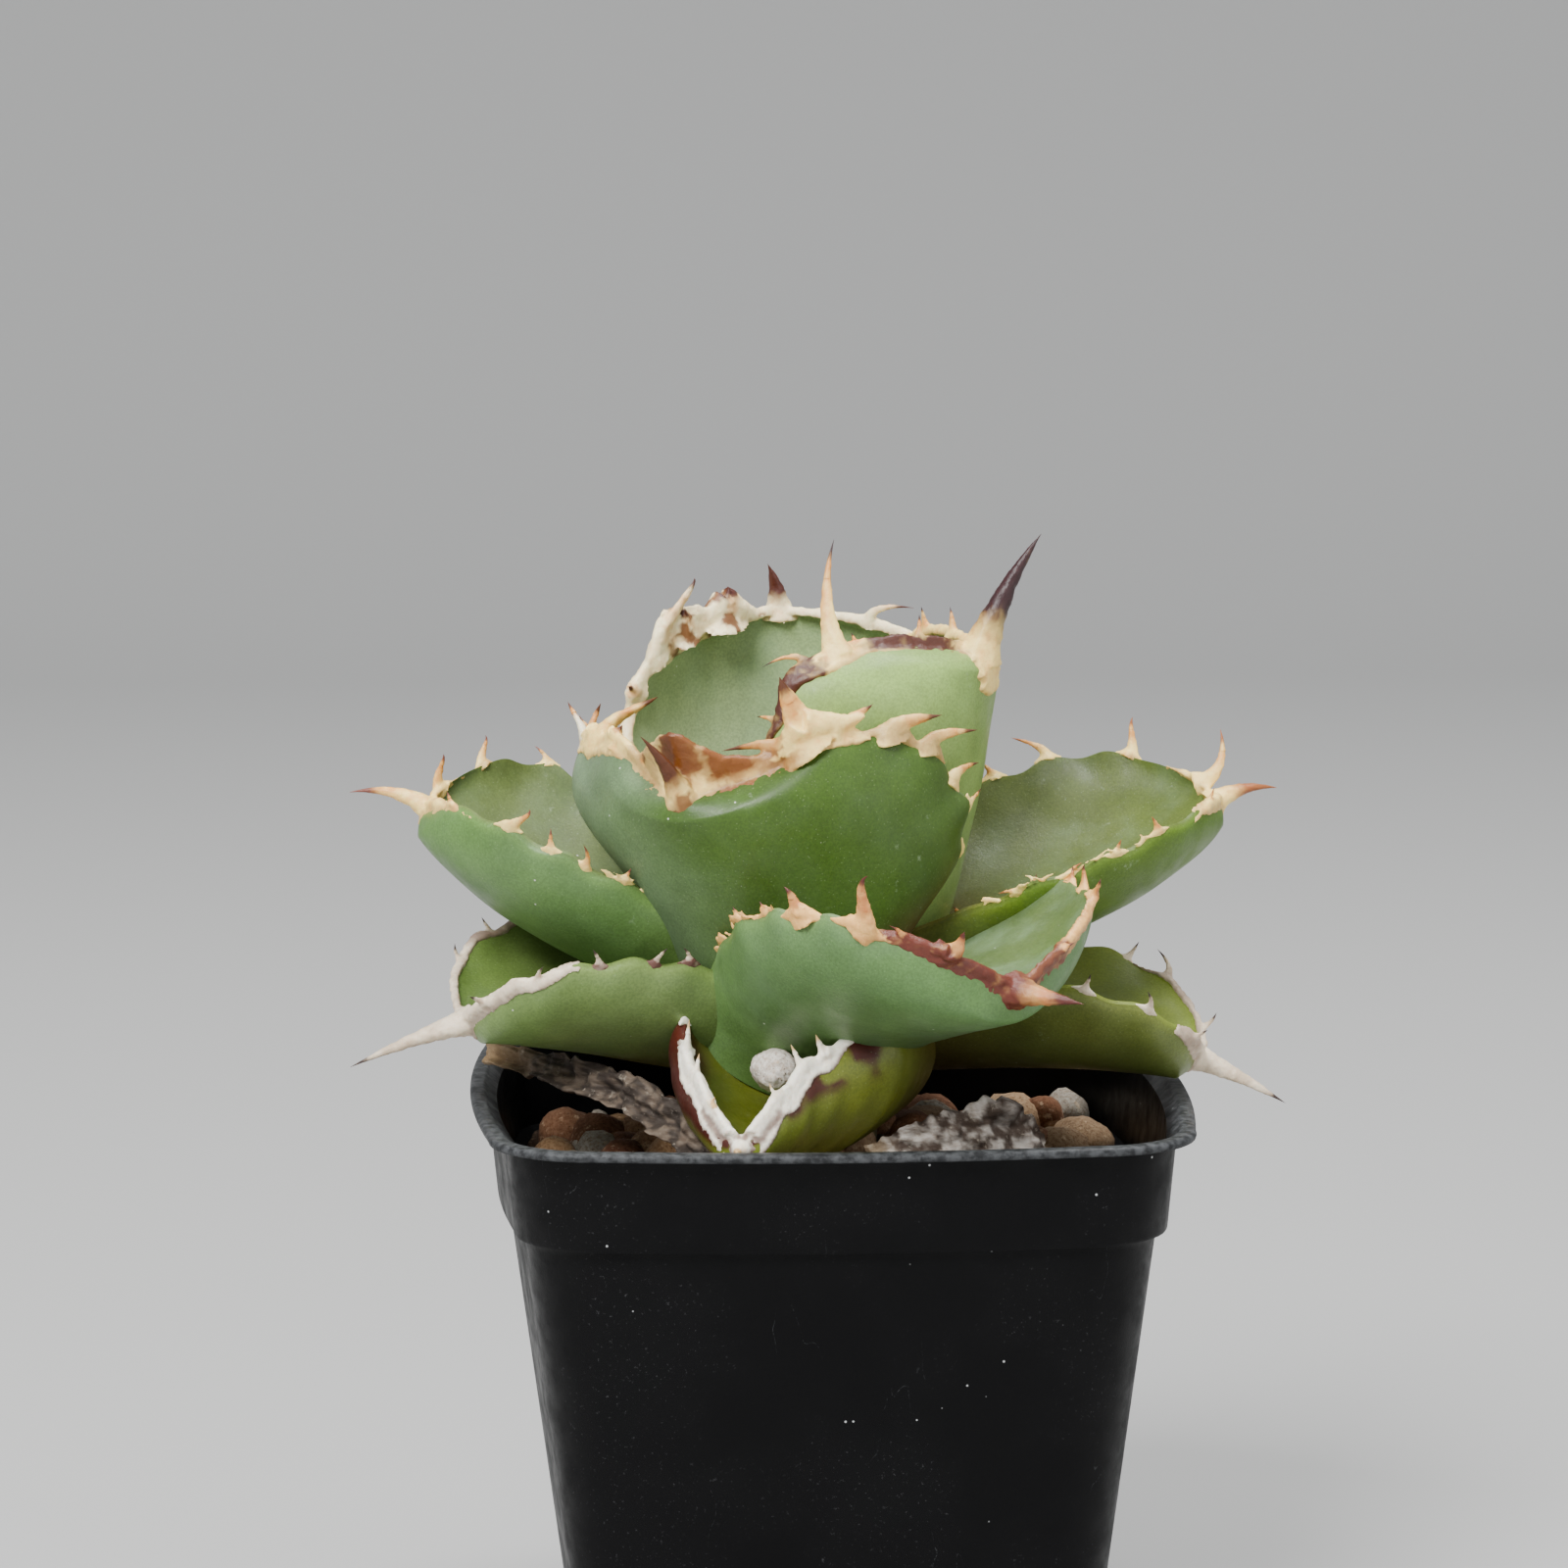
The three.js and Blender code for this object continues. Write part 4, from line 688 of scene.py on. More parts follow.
def horn(leaf):
    """The horn of a leaf as shells, the sharp ends of its spikes, samples along it for colouring
    (point, share of the way to a spike's end, mm to the leaf's tip, edge, radius, up, out), and the
    points where it ends on the skin, with the leaf's edge and the edge's outward direction."""
    look = LOOKS[leaf["name"]]
    proud = leaf["horn"][0]
    shells, tips, samples, borders, paths = [], [], [], [], []

    def add_spike(path, radii, flat, thin, togo, side, sharp=True):
        shells.append(spike(path, radii, flat, thin))
        if sharp:
            last = len(path) * 2 // 3
            fine = np.linspace(0.85, 0.03, len(path) - last) * radii[last]
            tips.append(spike(path[last:], fine, flat, 0.9, 8))
        for i, p in enumerate(path):
            share = i / (len(path) - 1) if sharp else 0.0
            samples.append((*p, share, togo, side, radii[i], *flat, 0, 0, 0))

    for side, strip in zip((-1, 1), look["strip"]):
        path = edge_path(leaf, side)
        paths.append(path)
        length = path["togo"][0] * LOWEST_HORN
        togo = np.arange(min(strip, length), 1.0, -STRIP_STEP)
        grow = smooth(togo, togo[0], togo[0] * 0.6) * 0.85 + 0.15
        P = edge_at(path, togo)["P"]
        cover = grow * cover_at(leaf, side, togo, P)
        stand = 0.72 * proud * grow * (1 + 0.3 * cloud(P, 2.6, leaf["az"] + side + 3, 2))
        shell, at, border = edge_strip(leaf, side, path, togo, cover, stand)
        shells.append(shell)
        borders.append(border)
        for i, p in enumerate(at["P"]):
            samples.append((*p, 0.0, togo[i], side, proud, *at["up"][i], *at["out"][i]))
        for togo, out, forward, up, foot, bend in teeth_of(leaf, side, length):
            e = {k: v[0] for k, v in edge_at(path, np.array([togo])).items()}
            long = math.sqrt(out * out + forward * forward + up * up)
            root = e["P"] - e["out"] * 0.3
            tip = e["P"] + e["out"] * (out + 0.45) + e["along"] * forward + e["up"] * up
            if bend:
                one, two = bend
                way = [root, root + e["out"] * 0.4 * long + e["along"] * one,
                       mix(root, tip, 0.75) + e["along"] * two, tip]
            else:
                way = [root, root + e["out"] * 0.55 * long + e["up"] * 0.1 * long, tip]
            line = curve(way, TOOTH_STEPS)
            u = np.linspace(0, 1, TOOTH_STEPS)
            radii = foot / 2 * (0.5 * (1 - u) ** 6 + 0.72 * (1 - u) ** 0.85 + 0.02)
            add_spike(line, radii, e["up"], 0.62, togo, side)
            # the foot spreads a little along the edge
            for way_along in (-1, 1):
                end = e["P"] + e["along"] * way_along * foot * 0.9
                toe = curve([root + e["out"] * 0.4 * foot, mix(root, end, 0.6), end - e["out"] * 0.2],
                            TOE_STEPS)
                add_spike(toe, np.linspace(foot * 0.3, 0.25, TOE_STEPS), e["up"], 0.75, togo, side, False)

    # a plate of horn on the edge, also across the notch at the tip: (edge times mm from the tip, height)
    if "crest" in look:
        place, height = np.array(look["crest"], float).T
        along = np.linspace(place[0], place[-1], CREST_STEPS)
        high = np.interp(along, place, height) + 0.15 * np.sin(1.9 * along)
        both = [edge_at(p, np.abs(along)) for p in paths]
        base = np.where(along[:, None] < 0, both[0]["P"], both[1]["P"])
        _, T, _, N = (v[0] for v in leaf_frame(leaf, np.array([0.97])))
        hollow = 0.22 * high * (1 + 0.5 * np.cos(along * 0.5))
        ring = []
        for rise, thick in ((-0.25, 0.95), (0.3, 0.85), (0.75, 0.7), (1.0, 0.45)):
            middle = base + T * (rise * high)[:, None] + N * (hollow * rise * (1.6 - rise))[:, None]
            ring.insert(0, middle - N * thick)
            ring.append(middle + N * thick)
        shells.append(loft(np.stack(ring, 1)))
        for rise in (0.15, 0.45, 0.75, 1.0):
            for i in range(0, CREST_STEPS, 2):
                at_p = base[i] + T * rise * high[i] + N * hollow[i] * rise * (1.6 - rise)
                samples.append((*at_p, 0.0, abs(along[i]), np.sign(along[i]), 1.2, *N, *T))

    # torn threads of horn along the lower edges
    rng = random.Random(int(leaf["az"]) + 400)
    for on, start, end, count in look.get("threads", []):
        path = paths[0 if on < 0 else 1]
        for _ in range(count):
            e = {k: v[0] for k, v in edge_at(path, np.array([rng.uniform(start, end)])).items()}
            away = e["out"] * rng.uniform(0.3, 1.6) + e["along"] * rng.uniform(-2.6, 2.6)
            away = away + e["up"] * rng.uniform(-0.4, 0.9)
            root = e["P"] - e["out"] * 0.25
            line = curve([root, root + e["out"] * 0.8 + away * 0.3, root + e["out"] * 0.25 + away],
                         THREAD_STEPS)
            add_spike(line, np.linspace(0.34, 0.16, THREAD_STEPS), e["up"], 0.8, 30, on, False)

    # the terminal spine and the cap that it grows from
    centre, T, across, out = (v[0] for v in leaf_frame(leaf, np.array([1.0])))
    far, sideways, up = leaf["spine"]
    foot = centre + T * 0.3 - out * 0.8
    tip = foot + T * far + across * sideways + out * up
    long = math.sqrt(far * far + sideways * sideways + up * up)
    line = curve([foot - T * 1.2, foot + T * long * 0.45, tip], SPINE_STEPS)
    u = np.linspace(0, 1, SPINE_STEPS)
    radii = leaf["root"] * (0.3 * (1 - u) ** 6 + 0.7 * (1 - u) ** 0.9 + 0.015)
    add_spike(line, radii, out, 0.85, 0, 0)
    shell, capped = tip_cap(leaf, paths)
    shells.append(shell)
    for P, togo, side, normal, near in capped:
        borders.append(P[near])
        for i in range(0, len(P), 5):
            samples.append((*P[i], 0.0, togo[i], side[i], 1.5, *normal[i], 0, 0, 0))
    edge, edge_out = (np.concatenate([p[key] for p in paths]) for key in ("P", "out"))
    return shells, tips, np.array(samples), (np.concatenate(borders), edge, edge_out)


def horn_piece(leaf, others):
    shells, tips, samples, borders = horn(leaf)
    piece = make("horn_edge_" + leaf["name"], *shells)
    remesh = piece.modifiers.new("one body", "REMESH")
    remesh.mode = "VOXEL"
    remesh.voxel_size = HORN_VOXEL * MM
    relax = piece.modifiers.new("relax", "SMOOTH")
    relax.iterations = 3
    apply_modifiers(piece)
    P = corners(piece)
    which, _ = nearest(samples[:, :3], P)
    radius = np.minimum(samples[which, 6], 2.0)
    bumps = 0.12 * cloud(P, 1.6, leaf["az"], 3) + 0.08 * cloud(P, 0.6, leaf["az"] + 9, 1)
    move_to(piece, P + normals(piece) * (bumps * np.minimum(radius, 1.2))[:, None])
    faces = 2 * len(piece.data.polygons)
    if faces > HORN_FACES:
        thin = piece.modifiers.new("thin", "DECIMATE")
        thin.ratio = HORN_FACES / faces
        apply_modifiers(piece)
    points = make("tips", *tips)
    bm = bmesh.new()
    bm.from_mesh(piece.data)
    bm.from_mesh(points.data)
    bm.to_mesh(piece.data)
    bm.free()
    bpy.data.objects.remove(points)
    carve(piece, others)
    soften(piece, 60)
    return piece, samples, borders


def leaf_colours(leaf, P, t, s, face):
    look = LOOKS[leaf["name"]]
    c = blend(np.tile(linear(look["under"]), (len(P), 1)), linear(look["upper"]), face)
    c = blend(c, linear(look["foot"]), smooth(t, 0.45, 0.0) * 0.8)
    c = blend(c, c * (0.95, 1.06, 0.8), smooth(t, 0.6, 1.0) * 0.5)
    for at_t, at_s, reach, on, colour, amount in look.get("patches", []):
        away = np.hypot(t - at_t, (s - at_s) * 0.5) / reach
        c = blend(c, linear(colour), amount * smooth(away, 1, 0.1) * (np.abs(face - on) < 0.4))
    mottle = cloud(P, 6.0, leaf["az"] + 20, 2)
    c = c * (1 + 0.13 * mottle[:, None] * (1.0, 0.9, 1.1))
    if "maroon" in look:
        # a wider rim and fuller spots on the left half
        left = s < 0
        rim = smooth(np.abs(s), np.where(left, 0.5, 0.72), np.where(left, 0.7, 0.84)) * smooth(t, 0.35, 0.5)
        spots = cloud(P, 4.0, leaf["az"] + 31)
        spots = smooth(spots, np.where(left, -0.9, -0.15), np.where(left, -0.5, 0.1))
        c = blend(c, linear(look["maroon"]), rim * spots)
    # a thin pale line where the skin meets the horn
    c = blend(c, c * (1.35, 1.3, 1.1), smooth(np.abs(s), 0.955, 0.985) * 0.5)
    return c * IN_STUDIO


def horn_colours(leaf, P, N, samples, borders):
    look = LOOKS[leaf["name"]]
    tone = look["horn"]
    which, _ = nearest(samples[:, :3], P)
    u, togo, side = samples[which, 3], samples[which, 4], samples[which, 5]
    up, out = samples[which, 7:10], samples[which, 10:]
    on_top = smooth(np.sum(N * up, 1) + np.sum(N * out, 1), -0.05, 0.5)
    grain = cloud(P, 2.2, leaf["az"] + 40, 3)
    fine = cloud(P, 0.7, leaf["az"] + 50, 2)
    c = np.tile(linear(tone["light"]), (len(P), 1))
    tan = 0.75 * smooth(u, 0.1, 0.7) + 0.55 * grain + 0.25 * fine
    c = blend(c, linear(tone["middle"]), np.clip(tan, 0, 0.9) * (1 - 0.6 * tone["chalk"]))
    # browner where it meets the skin
    _, away = nearest(borders[0], P)
    beside, from_edge = nearest(borders[1], P)
    proud = np.sum((P - borders[1][beside]) * borders[2][beside], 1)
    on_top = np.maximum(on_top, smooth(proud, -0.7, -0.2))
    brown = smooth(away, 0.75, 0.2) * look.get("seam", 0.45)
    for on, start, end, amount, only_top in look.get("brown", []):
        inside = smooth(togo, start - 1.5, start + 1.5) * smooth(togo, end + 1.5, end - 1.5)
        inside *= ((side == on) | (side == 0)) * smooth(u, 0.6, 0.15)
        brown = np.maximum(brown, amount * inside * (on_top if only_top else 1))
    brown = brown * np.clip(1.15 + 0.5 * grain + 0.25 * fine, 0, 1)
    c = blend(c, linear(look.get("brown_tone", (112, 66, 44))), brown)
    for on, start, end, near, far, colour, amount, patchy in look.get("stains", []):
        inside = smooth(togo, start - 0.8, start + 0.8) * smooth(togo, end + 1, end - 1) * (side == on)
        inside *= smooth(from_edge, near - 0.6, near + 0.3) * smooth(from_edge, far + 1, far - 0.4)
        spots = smooth(cloud(P, 2.4, start + 60, 2), 0.1, 0.3)
        c = blend(c, linear(colour), amount * inside * mix(1, spots, patchy))
    reach = np.where(side == 0, look.get("spine_dark", 0.35), look.get("teeth_dark", 0.28))
    dark = smooth(u, 1 - reach, 1 - 0.5 * reach)
    c = blend(c, linear(tone["tip"]), np.clip(dark * (1.2 + 0.3 * grain), 0, 1))
    return c


# Materials
class Shader:
    """A material's nodes, added in one line each. Sizes are in mm."""

    def __init__(self, name):
        self.material = bpy.data.materials.new(name)
        self.material.use_nodes = True
        self.tree = self.material.node_tree
        self.surface = self.tree.nodes["Principled BSDF"]
        self.place = self.tree.nodes.new("ShaderNodeTexCoord").outputs["Object"]

    def node(self, kind, inputs, **settings):
        made = self.tree.nodes.new("ShaderNode" + kind)
        for key, v in settings.items():
            setattr(made, key, v)
        for key, v in inputs.items():
            self.put(made.inputs[key], v)
        return made

    def put(self, socket, v):
        if isinstance(v, bpy.types.NodeSocket):
            self.tree.links.new(v, socket)
        else:
            socket.default_value = v

    def set(self, **values):
        for key, v in values.items():
            self.put(self.surface.inputs[key.replace("_", " ")], v)

    def noise(self, size, detail=2.0, rough=0.5, place=None):
        return self.node("TexNoise", {"Vector": place or self.place, "Scale": 1 / (size * MM),
                                      "Detail": detail, "Roughness": rough}).outputs["Fac"]

    def cells(self, size, output="Distance"):
        return self.node("TexVoronoi", {"Vector": self.place, "Scale": 1 / (size * MM)}).outputs[output]

    def squeeze(self, x, y, z):
        return self.node("Mapping", {"Vector": self.place, "Scale": (x, y, z)}).outputs[0]

    def between(self, v, low, high, to_low=0.0, to_high=1.0):
        return self.node("MapRange", {"Value": v, "From Min": low, "From Max": high,
                                      "To Min": to_low, "To Max": to_high},
                         interpolation_type="SMOOTHSTEP").outputs[0]

    def math(self, kind, a, b=0.0):
        made = self.tree.nodes.new("ShaderNodeMath")
        made.operation = kind
        self.put(made.inputs[0], a)
        self.put(made.inputs[1], b)
        return made.outputs[0]

    def times(self, a, b):
        return self.math("MULTIPLY", a, b)

    def mix(self, k, a, b, kind="MIX"):
        made = self.tree.nodes.new("ShaderNodeMix")
        made.data_type = "RGBA"
        made.blend_type = kind
        for socket, v in ((0, k), (6, a), (7, b)):
            if isinstance(v, tuple):
                v = (*linear(v), 1)
            self.put(made.inputs[socket], v)
        return made.outputs[2]

    def stain(self, k, colour, rgb):
        """The colour, stained by rgb to the share k."""
        return self.mix(k, colour, self.mix(1.0, colour, rgb, "MULTIPLY"))

    def shade(self, colour, v):
        grey = self.node("CombineColor", {"Red": v, "Green": v, "Blue": v}).outputs[0]
        return self.mix(1.0, colour, grey, "MULTIPLY")

    def specks(self, size, core):
        """A sharp dot in about one cell out of four."""
        return self.times(self.between(self.cells(size), 0.075, core),
                          self.between(self.cells(size, "Color"), 0.72, 0.75))

    def attribute(self, name, output="Color"):
        return self.node("Attribute", {}, attribute_name=name).outputs[output]

    def bump(self, height, depth, strength=1.0, under=None):
        inputs = {"Height": height, "Distance": depth * MM, "Strength": strength}
        if under is not None:
            inputs["Normal"] = under
        return self.node("Bump", inputs).outputs["Normal"]


def leaf_material():
    m = Shader("thick_leaf_skin")
    colour = m.attribute("tint")
    tone = m.between(m.noise(8.0, 3.0, 0.55), 0.3, 0.7, 0.88, 1.1)
    colour = m.shade(colour, tone)
    grain = m.noise(0.34, 2.0, 0.6)
    colour = m.shade(colour, m.between(grain, 0.3, 0.7, 0.86, 1.12))
    pores = m.times(m.between(m.cells(0.62), 0.2, 0.05), 0.16)
    colour = m.mix(pores, colour, (176, 196, 150))
    bloom = m.times(m.between(m.noise(10.0, 5.0, 0.6), 0.4, 0.7), m.attribute("bloom", "Fac"))
    colour = m.mix(m.times(bloom, 0.42), colour, (128, 154, 124))
    rub = m.between(m.noise(1.6, 5.0, 0.7), 0.6, 0.72)
    rub = m.times(rub, m.between(m.noise(14.0, 2.0), 0.52, 0.66))
    colour = m.mix(m.times(rub, 0.3), colour, (172, 190, 158))
    colour = m.mix(m.times(m.specks(2.4, 0.03), 0.8), colour, (230, 232, 220))
    m.set(Base_Color=colour, Roughness=m.between(m.noise(3.0, 3.0), 0.3, 0.7, 0.36, 0.52))
    m.set(Specular_IOR_Level=0.3, Subsurface_Weight=0.08, Subsurface_Radius=(0.6, 1.0, 0.3),
          Subsurface_Scale=0.001)
    fine = m.bump(grain, 0.035, 0.7)
    m.set(Normal=m.bump(m.noise(2.6, 3.0), 0.12, 0.5, fine))
    return m.material


def horn_material():
    m = Shader("horny_leaf_edge")
    colour = m.attribute("tint")
    streaks = m.noise(0.5, 4.0, 0.65)
    colour = m.stain(m.between(streaks, 0.45, 0.75, 0.0, 0.25), colour, (206, 160, 112))
    pits = m.between(m.noise(0.9, 5.0, 0.7), 0.66, 0.72, 0.0, 0.45)
    colour = m.stain(pits, colour, (150, 100, 70))
    chalk = m.attribute("chalk", "Fac")
    m.set(Base_Color=colour, Roughness=m.between(chalk, 0.0, 1.0, 0.42, 0.85))
    m.set(Subsurface_Weight=0.12, Subsurface_Radius=(1.0, 0.6, 0.3), Subsurface_Scale=0.0008)
    fine = m.bump(m.noise(0.22, 3.0, 0.6), 0.04, 0.7)
    m.set(Normal=m.bump(streaks, 0.12, 0.7, fine))
    return m.material


def plastic_material():
    m = Shader("black_pot_plastic")
    patchy = m.noise(22.0, 4.0, 0.6)
    colour = m.mix(m.between(patchy, 0.35, 0.7), (3, 3, 4), (7, 7, 8))
    dust = m.between(m.noise(0.5, 5.0, 0.7), 0.6, 0.72, 0.0, 0.3)
    colour = m.mix(m.times(dust, m.between(patchy, 0.45, 0.6)), colour, (92, 92, 94))
    colour = m.mix(m.times(m.specks(2.6, 0.035), 0.85), colour, (190, 192, 192))
    thread = m.noise(5.0, 2.0, 0.4, m.squeeze(1, 1, 0.35))
    scratch = m.between(m.math("ABSOLUTE", m.math("SUBTRACT", thread, 0.5)), 0.003, 0.0)
    scratch = m.times(scratch, m.between(m.noise(14.0, 1.0), 0.6, 0.66))
    scratch = m.times(scratch, m.between(m.noise(0.4, 3.0, 0.6), 0.45, 0.6))
    colour = m.mix(m.times(scratch, 0.35), colour, (84, 86, 88))
    rim = m.between(m.attribute("rim", "Fac"), 0.2, 1.0)
    worn = m.times(rim, m.between(m.noise(1.4, 4.0, 0.7), 0.35, 0.65, 0.25, 1.0))
    colour = m.mix(m.times(worn, 0.55), colour, (92, 94, 96))
    m.set(Base_Color=colour, Roughness=m.between(m.noise(4.0, 4.0, 0.65), 0.3, 0.7, 0.36, 0.56))
    m.set(Specular_IOR_Level=0.11)
    m.set(Normal=m.bump(m.noise(0.35, 3.0, 0.6), 0.03, 0.5))
    return m.material


def pebble_material():
    m = Shader("clay_and_pumice_gravel")
    colour = m.attribute("tint")
    grain = m.noise(0.5, 5.0, 0.7)
    colour = m.stain(m.between(grain, 0.35, 0.7, 0.0, 0.75), colour, (170, 140, 115))
    colour = m.mix(m.between(m.noise(1.3, 4.0, 0.7), 0.56, 0.7, 0.0, 0.5), colour, (224, 196, 160))
    pores = m.between(m.cells(0.55), 0.22, 0.08, 0.0, 0.7)
    colour = m.stain(pores, colour, (110, 88, 70))
    m.set(Base_Color=colour, Roughness=m.between(grain, 0.3, 0.7, 0.82, 0.96))
    rough = m.bump(pores, -0.12, 0.7)
    m.set(Normal=m.bump(grain, 0.22, 0.8, rough))
    return m.material


def dry_material():
    m = Shader("dried_leaf_skin")
    colour = m.attribute("tint")
    fibres = m.noise(0.6, 4.0, 0.7, m.squeeze(0.35, 0.35, 1.0))
    colour = m.stain(m.between(fibres, 0.4, 0.7, 0.0, 0.6), colour, (172, 150, 132))
    colour = m.mix(m.between(m.noise(1.1, 5.0, 0.7), 0.58, 0.72, 0.0, 0.4), colour, (196, 184, 166))
    m.set(Base_Color=colour, Roughness=m.between(fibres, 0.3, 0.7, 0.7, 0.92))
    m.set(Normal=m.bump(fibres, 0.25, 0.8, m.bump(m.noise(0.25, 3.0), 0.06, 0.6)))
    return m.material


# Pot and soil
def pot_outline(half, corner, bow, z):
    points = []
    reach = half - corner
    for q in range(4):
        c, s = math.cos(q * math.pi / 2), math.sin(q * math.pi / 2)
        for i in range(SIDE_STEPS):
            share = 2 * i / SIDE_STEPS - 1
            x, y = half + bow * (1 - share * share), share * reach
            points.append((x * c - y * s, x * s + y * c, z))
        for i in range(CORNER_STEPS):
            a = math.pi / 2 * i / CORNER_STEPS
            x, y = reach + corner * math.cos(a), reach + corner * math.sin(a)
            points.append((x * c - y * s, x * s + y * c, z))
    return points


def body_half(z):
    return mix(BASE_HALF, BODY_TOP_HALF, z / (POT_HEIGHT - BAND_HEIGHT))


def pot_ring(half, z, inset=0.0):
    corner = mix(BASE_CORNER, RIM_CORNER, z / POT_HEIGHT) - inset
    return pot_outline(half, corner, SIDE_BOW * (0.4 + 0.6 * z / POT_HEIGHT), z)


def pot_piece(material):
    step = POT_HEIGHT - BAND_HEIGHT
    lip = POT_HEIGHT - LIP_THICK
    outer = [(BASE_HALF - 0.9, 0), (BASE_HALF - 0.4, 0.1), (BASE_HALF - 0.1, 0.45), (BASE_HALF, 1.0)]
    outer += [(body_half(z), z) for z in np.linspace(6, step - 1.2, 8)]
    outer += [(BODY_TOP_HALF, step - 0.35), (BODY_TOP_HALF + 0.12, step - 0.12),
              (BAND_FOOT_HALF - 0.5, step - 0.02), (BAND_FOOT_HALF - 0.15, step + 0.08),
              (BAND_FOOT_HALF, step + 0.4)]
    outer += [(mix(BAND_FOOT_HALF, BAND_TOP_HALF, k), mix(step + 0.4, lip - 0.5, k))
              for k in (0.3, 0.6, 1.0)]
    outer += [(BAND_TOP_HALF + 0.3, lip - 0.15), (RIM_HALF - 0.5, lip - 0.02),
              (RIM_HALF - 0.12, lip + 0.12)]
    outer += [(RIM_HALF, lip + 0.45), (RIM_HALF - 0.02, lip + 0.8), (RIM_HALF - 0.2, lip + 1.08),
              (RIM_HALF - 0.55, POT_HEIGHT)]
    inner = [(RIM_HALF - LIP_WIDTH + 0.4, POT_HEIGHT), (RIM_HALF - LIP_WIDTH + 0.1, lip + 1.05),
             (RIM_HALF - LIP_WIDTH - 0.1, lip + 0.7), (BAND_TOP_HALF - WALL, lip - 0.4),
             (BAND_FOOT_HALF - WALL, step + 1.0), (BODY_TOP_HALF - WALL, step + 0.3)]
    inner += [(body_half(z) - WALL, z) for z in np.linspace(step - 2, FLOOR + 1.2, 6)]
    inner += [(body_half(FLOOR) - WALL - 0.3, FLOOR + 0.3), (body_half(FLOOR) - WALL - 1.2, FLOOR)]
    rings = [pot_ring(half, z) for half, z in outer] + [pot_ring(half, z, WALL) for half, z in inner]
    pot = make("pot_shell", loft(np.array(rings)))
    drills = []
    for sx in (-1, 1):
        for sy in (-1, 1):
            a = np.linspace(0, 2 * np.pi, DRAIN_SIDES, endpoint=False)
            x = sx * DRAIN_OFFSET + DRAIN_RADIUS * np.cos(a)
            y = sy * DRAIN_OFFSET + DRAIN_RADIUS * np.sin(a)
            rings = np.array([np.stack([x, y, np.full_like(x, z)], 1) for z in (-1, FLOOR + 1)])
            drills.append(make("drill", loft(rings)))
    carve(pot, drills)
    for d in drills:
        bpy.data.objects.remove(d)
    soften(pot, 40)
    P = corners(pot)
    value(pot, "rim", smooth(P[:, 2], lip - 0.6, lip + 0.6))
    settle(pot, material, "pot_plastic", "pot")


def mound(x, y):
    return SOIL_LEVEL + MOUND_RISE * math.exp(-(x * x + y * y) / MOUND_WIDTH ** 2)


PEBBLE_COLOURS = ((176, 128, 88), (160, 108, 72), (196, 156, 112), (146, 96, 66), (206, 172, 132),
                  (182, 140, 100), (214, 206, 190), (168, 120, 86))


def ball(centre, radii, rng, steps, rough=0.16):
    """A lumpy pebble."""
    bm = bmesh.new()
    bmesh.ops.create_icosphere(bm, subdivisions=steps, radius=1)
    P = np.array([v.co for v in bm.verts])
    faces = [tuple(v.index for v in f.verts) for f in bm.faces]
    bm.free()
    turn = Matrix.Rotation(rng.uniform(0, 6.28), 3, "Z") @ Matrix.Rotation(rng.uniform(-0.5, 0.5), 3, "X")
    facets = np.sign(P) * np.abs(P) ** rng.uniform(0.8, 1.0)
    seed = rng.uniform(0, 90)
    bump = 1 + rough * cloud(P, 0.9, seed) + 0.5 * rough * cloud(P, 0.35, seed + 4, 2)
    P = facets * bump[:, None] * np.array(radii)
    return P @ np.array(turn).T + np.array(centre), faces


def soil_piece(material):
    """The soil's block, and stones on top of it in the same spiral as the part's."""
    rng = random.Random(41)
    shells, tints = [], []

    def add(shell, colour):
        shells.append(shell)
        tints.extend([linear(colour)] * len(shell[0]))

    clear = WALL + CLEARANCE
    levels = [FLOOR + CLEARANCE, 30.0, SOIL_LEVEL - 3]
    rings = [pot_ring(body_half(z) - clear, z, clear) for z in levels]
    edge = np.array(rings[-1])
    for share in np.linspace(1, 0.08, 12):
        ring = edge * (share, share, 1)
        ring[:, 2] = [mound(x, y) - 1.2 + 0.8 * noise.noise(Vector((x / 4, y / 4, 0))) for x, y, _ in ring]
        rings.append(ring)
    add(loft(np.array(rings)), (98, 72, 50))
    for i in range(1, STONE_COUNT):
        a = i * 2.39996 + 0.5 * chance(i)
        r = 4.9 * math.sqrt(i) + 1.6 * chance(i, 2)
        x, y = r * math.cos(a), r * math.sin(a)
        own = STONE_RADIUS * (0.75 + 0.5 * chance(i, 3))
        room = body_half(SOIL_LEVEL) - clear - 0.6 * own
        if max(abs(x), abs(y)) > room:
            continue
        rise = STONE_RISE + 1.4 * chance(i, 4)
        colour = rng.choice(PEBBLE_COLOURS)
        radii = (0.94 * own, rng.uniform(0.78, 0.94) * own, 0.95 * rise)
        add(ball((x, y, mound(x, y) - 1), radii, rng, 4 if y < -18 else 3), colour)
    for _ in range(LOOSE_GRAINS):
        x, y = (rng.uniform(-37.5, 37.5) for _ in range(2))
        size = rng.uniform(0.9, 2.4)
        add(ball((x, y, mound(x, y) + rng.uniform(-1.2, 0.2)), (size, 0.85 * size, 0.8 * size), rng, 2),
            rng.choice(PEBBLE_COLOURS))
    soil = make("gravel_fill", *shells)
    tints = np.array(tints)
    P = corners(soil)
    tints *= IN_STUDIO * (1 + 0.15 * cloud(P, 2.0, 5))[:, None]
    paint(soil, "tint", tints)
    soften(soil, 70)
    settle(soil, material, "gravel", "soil")


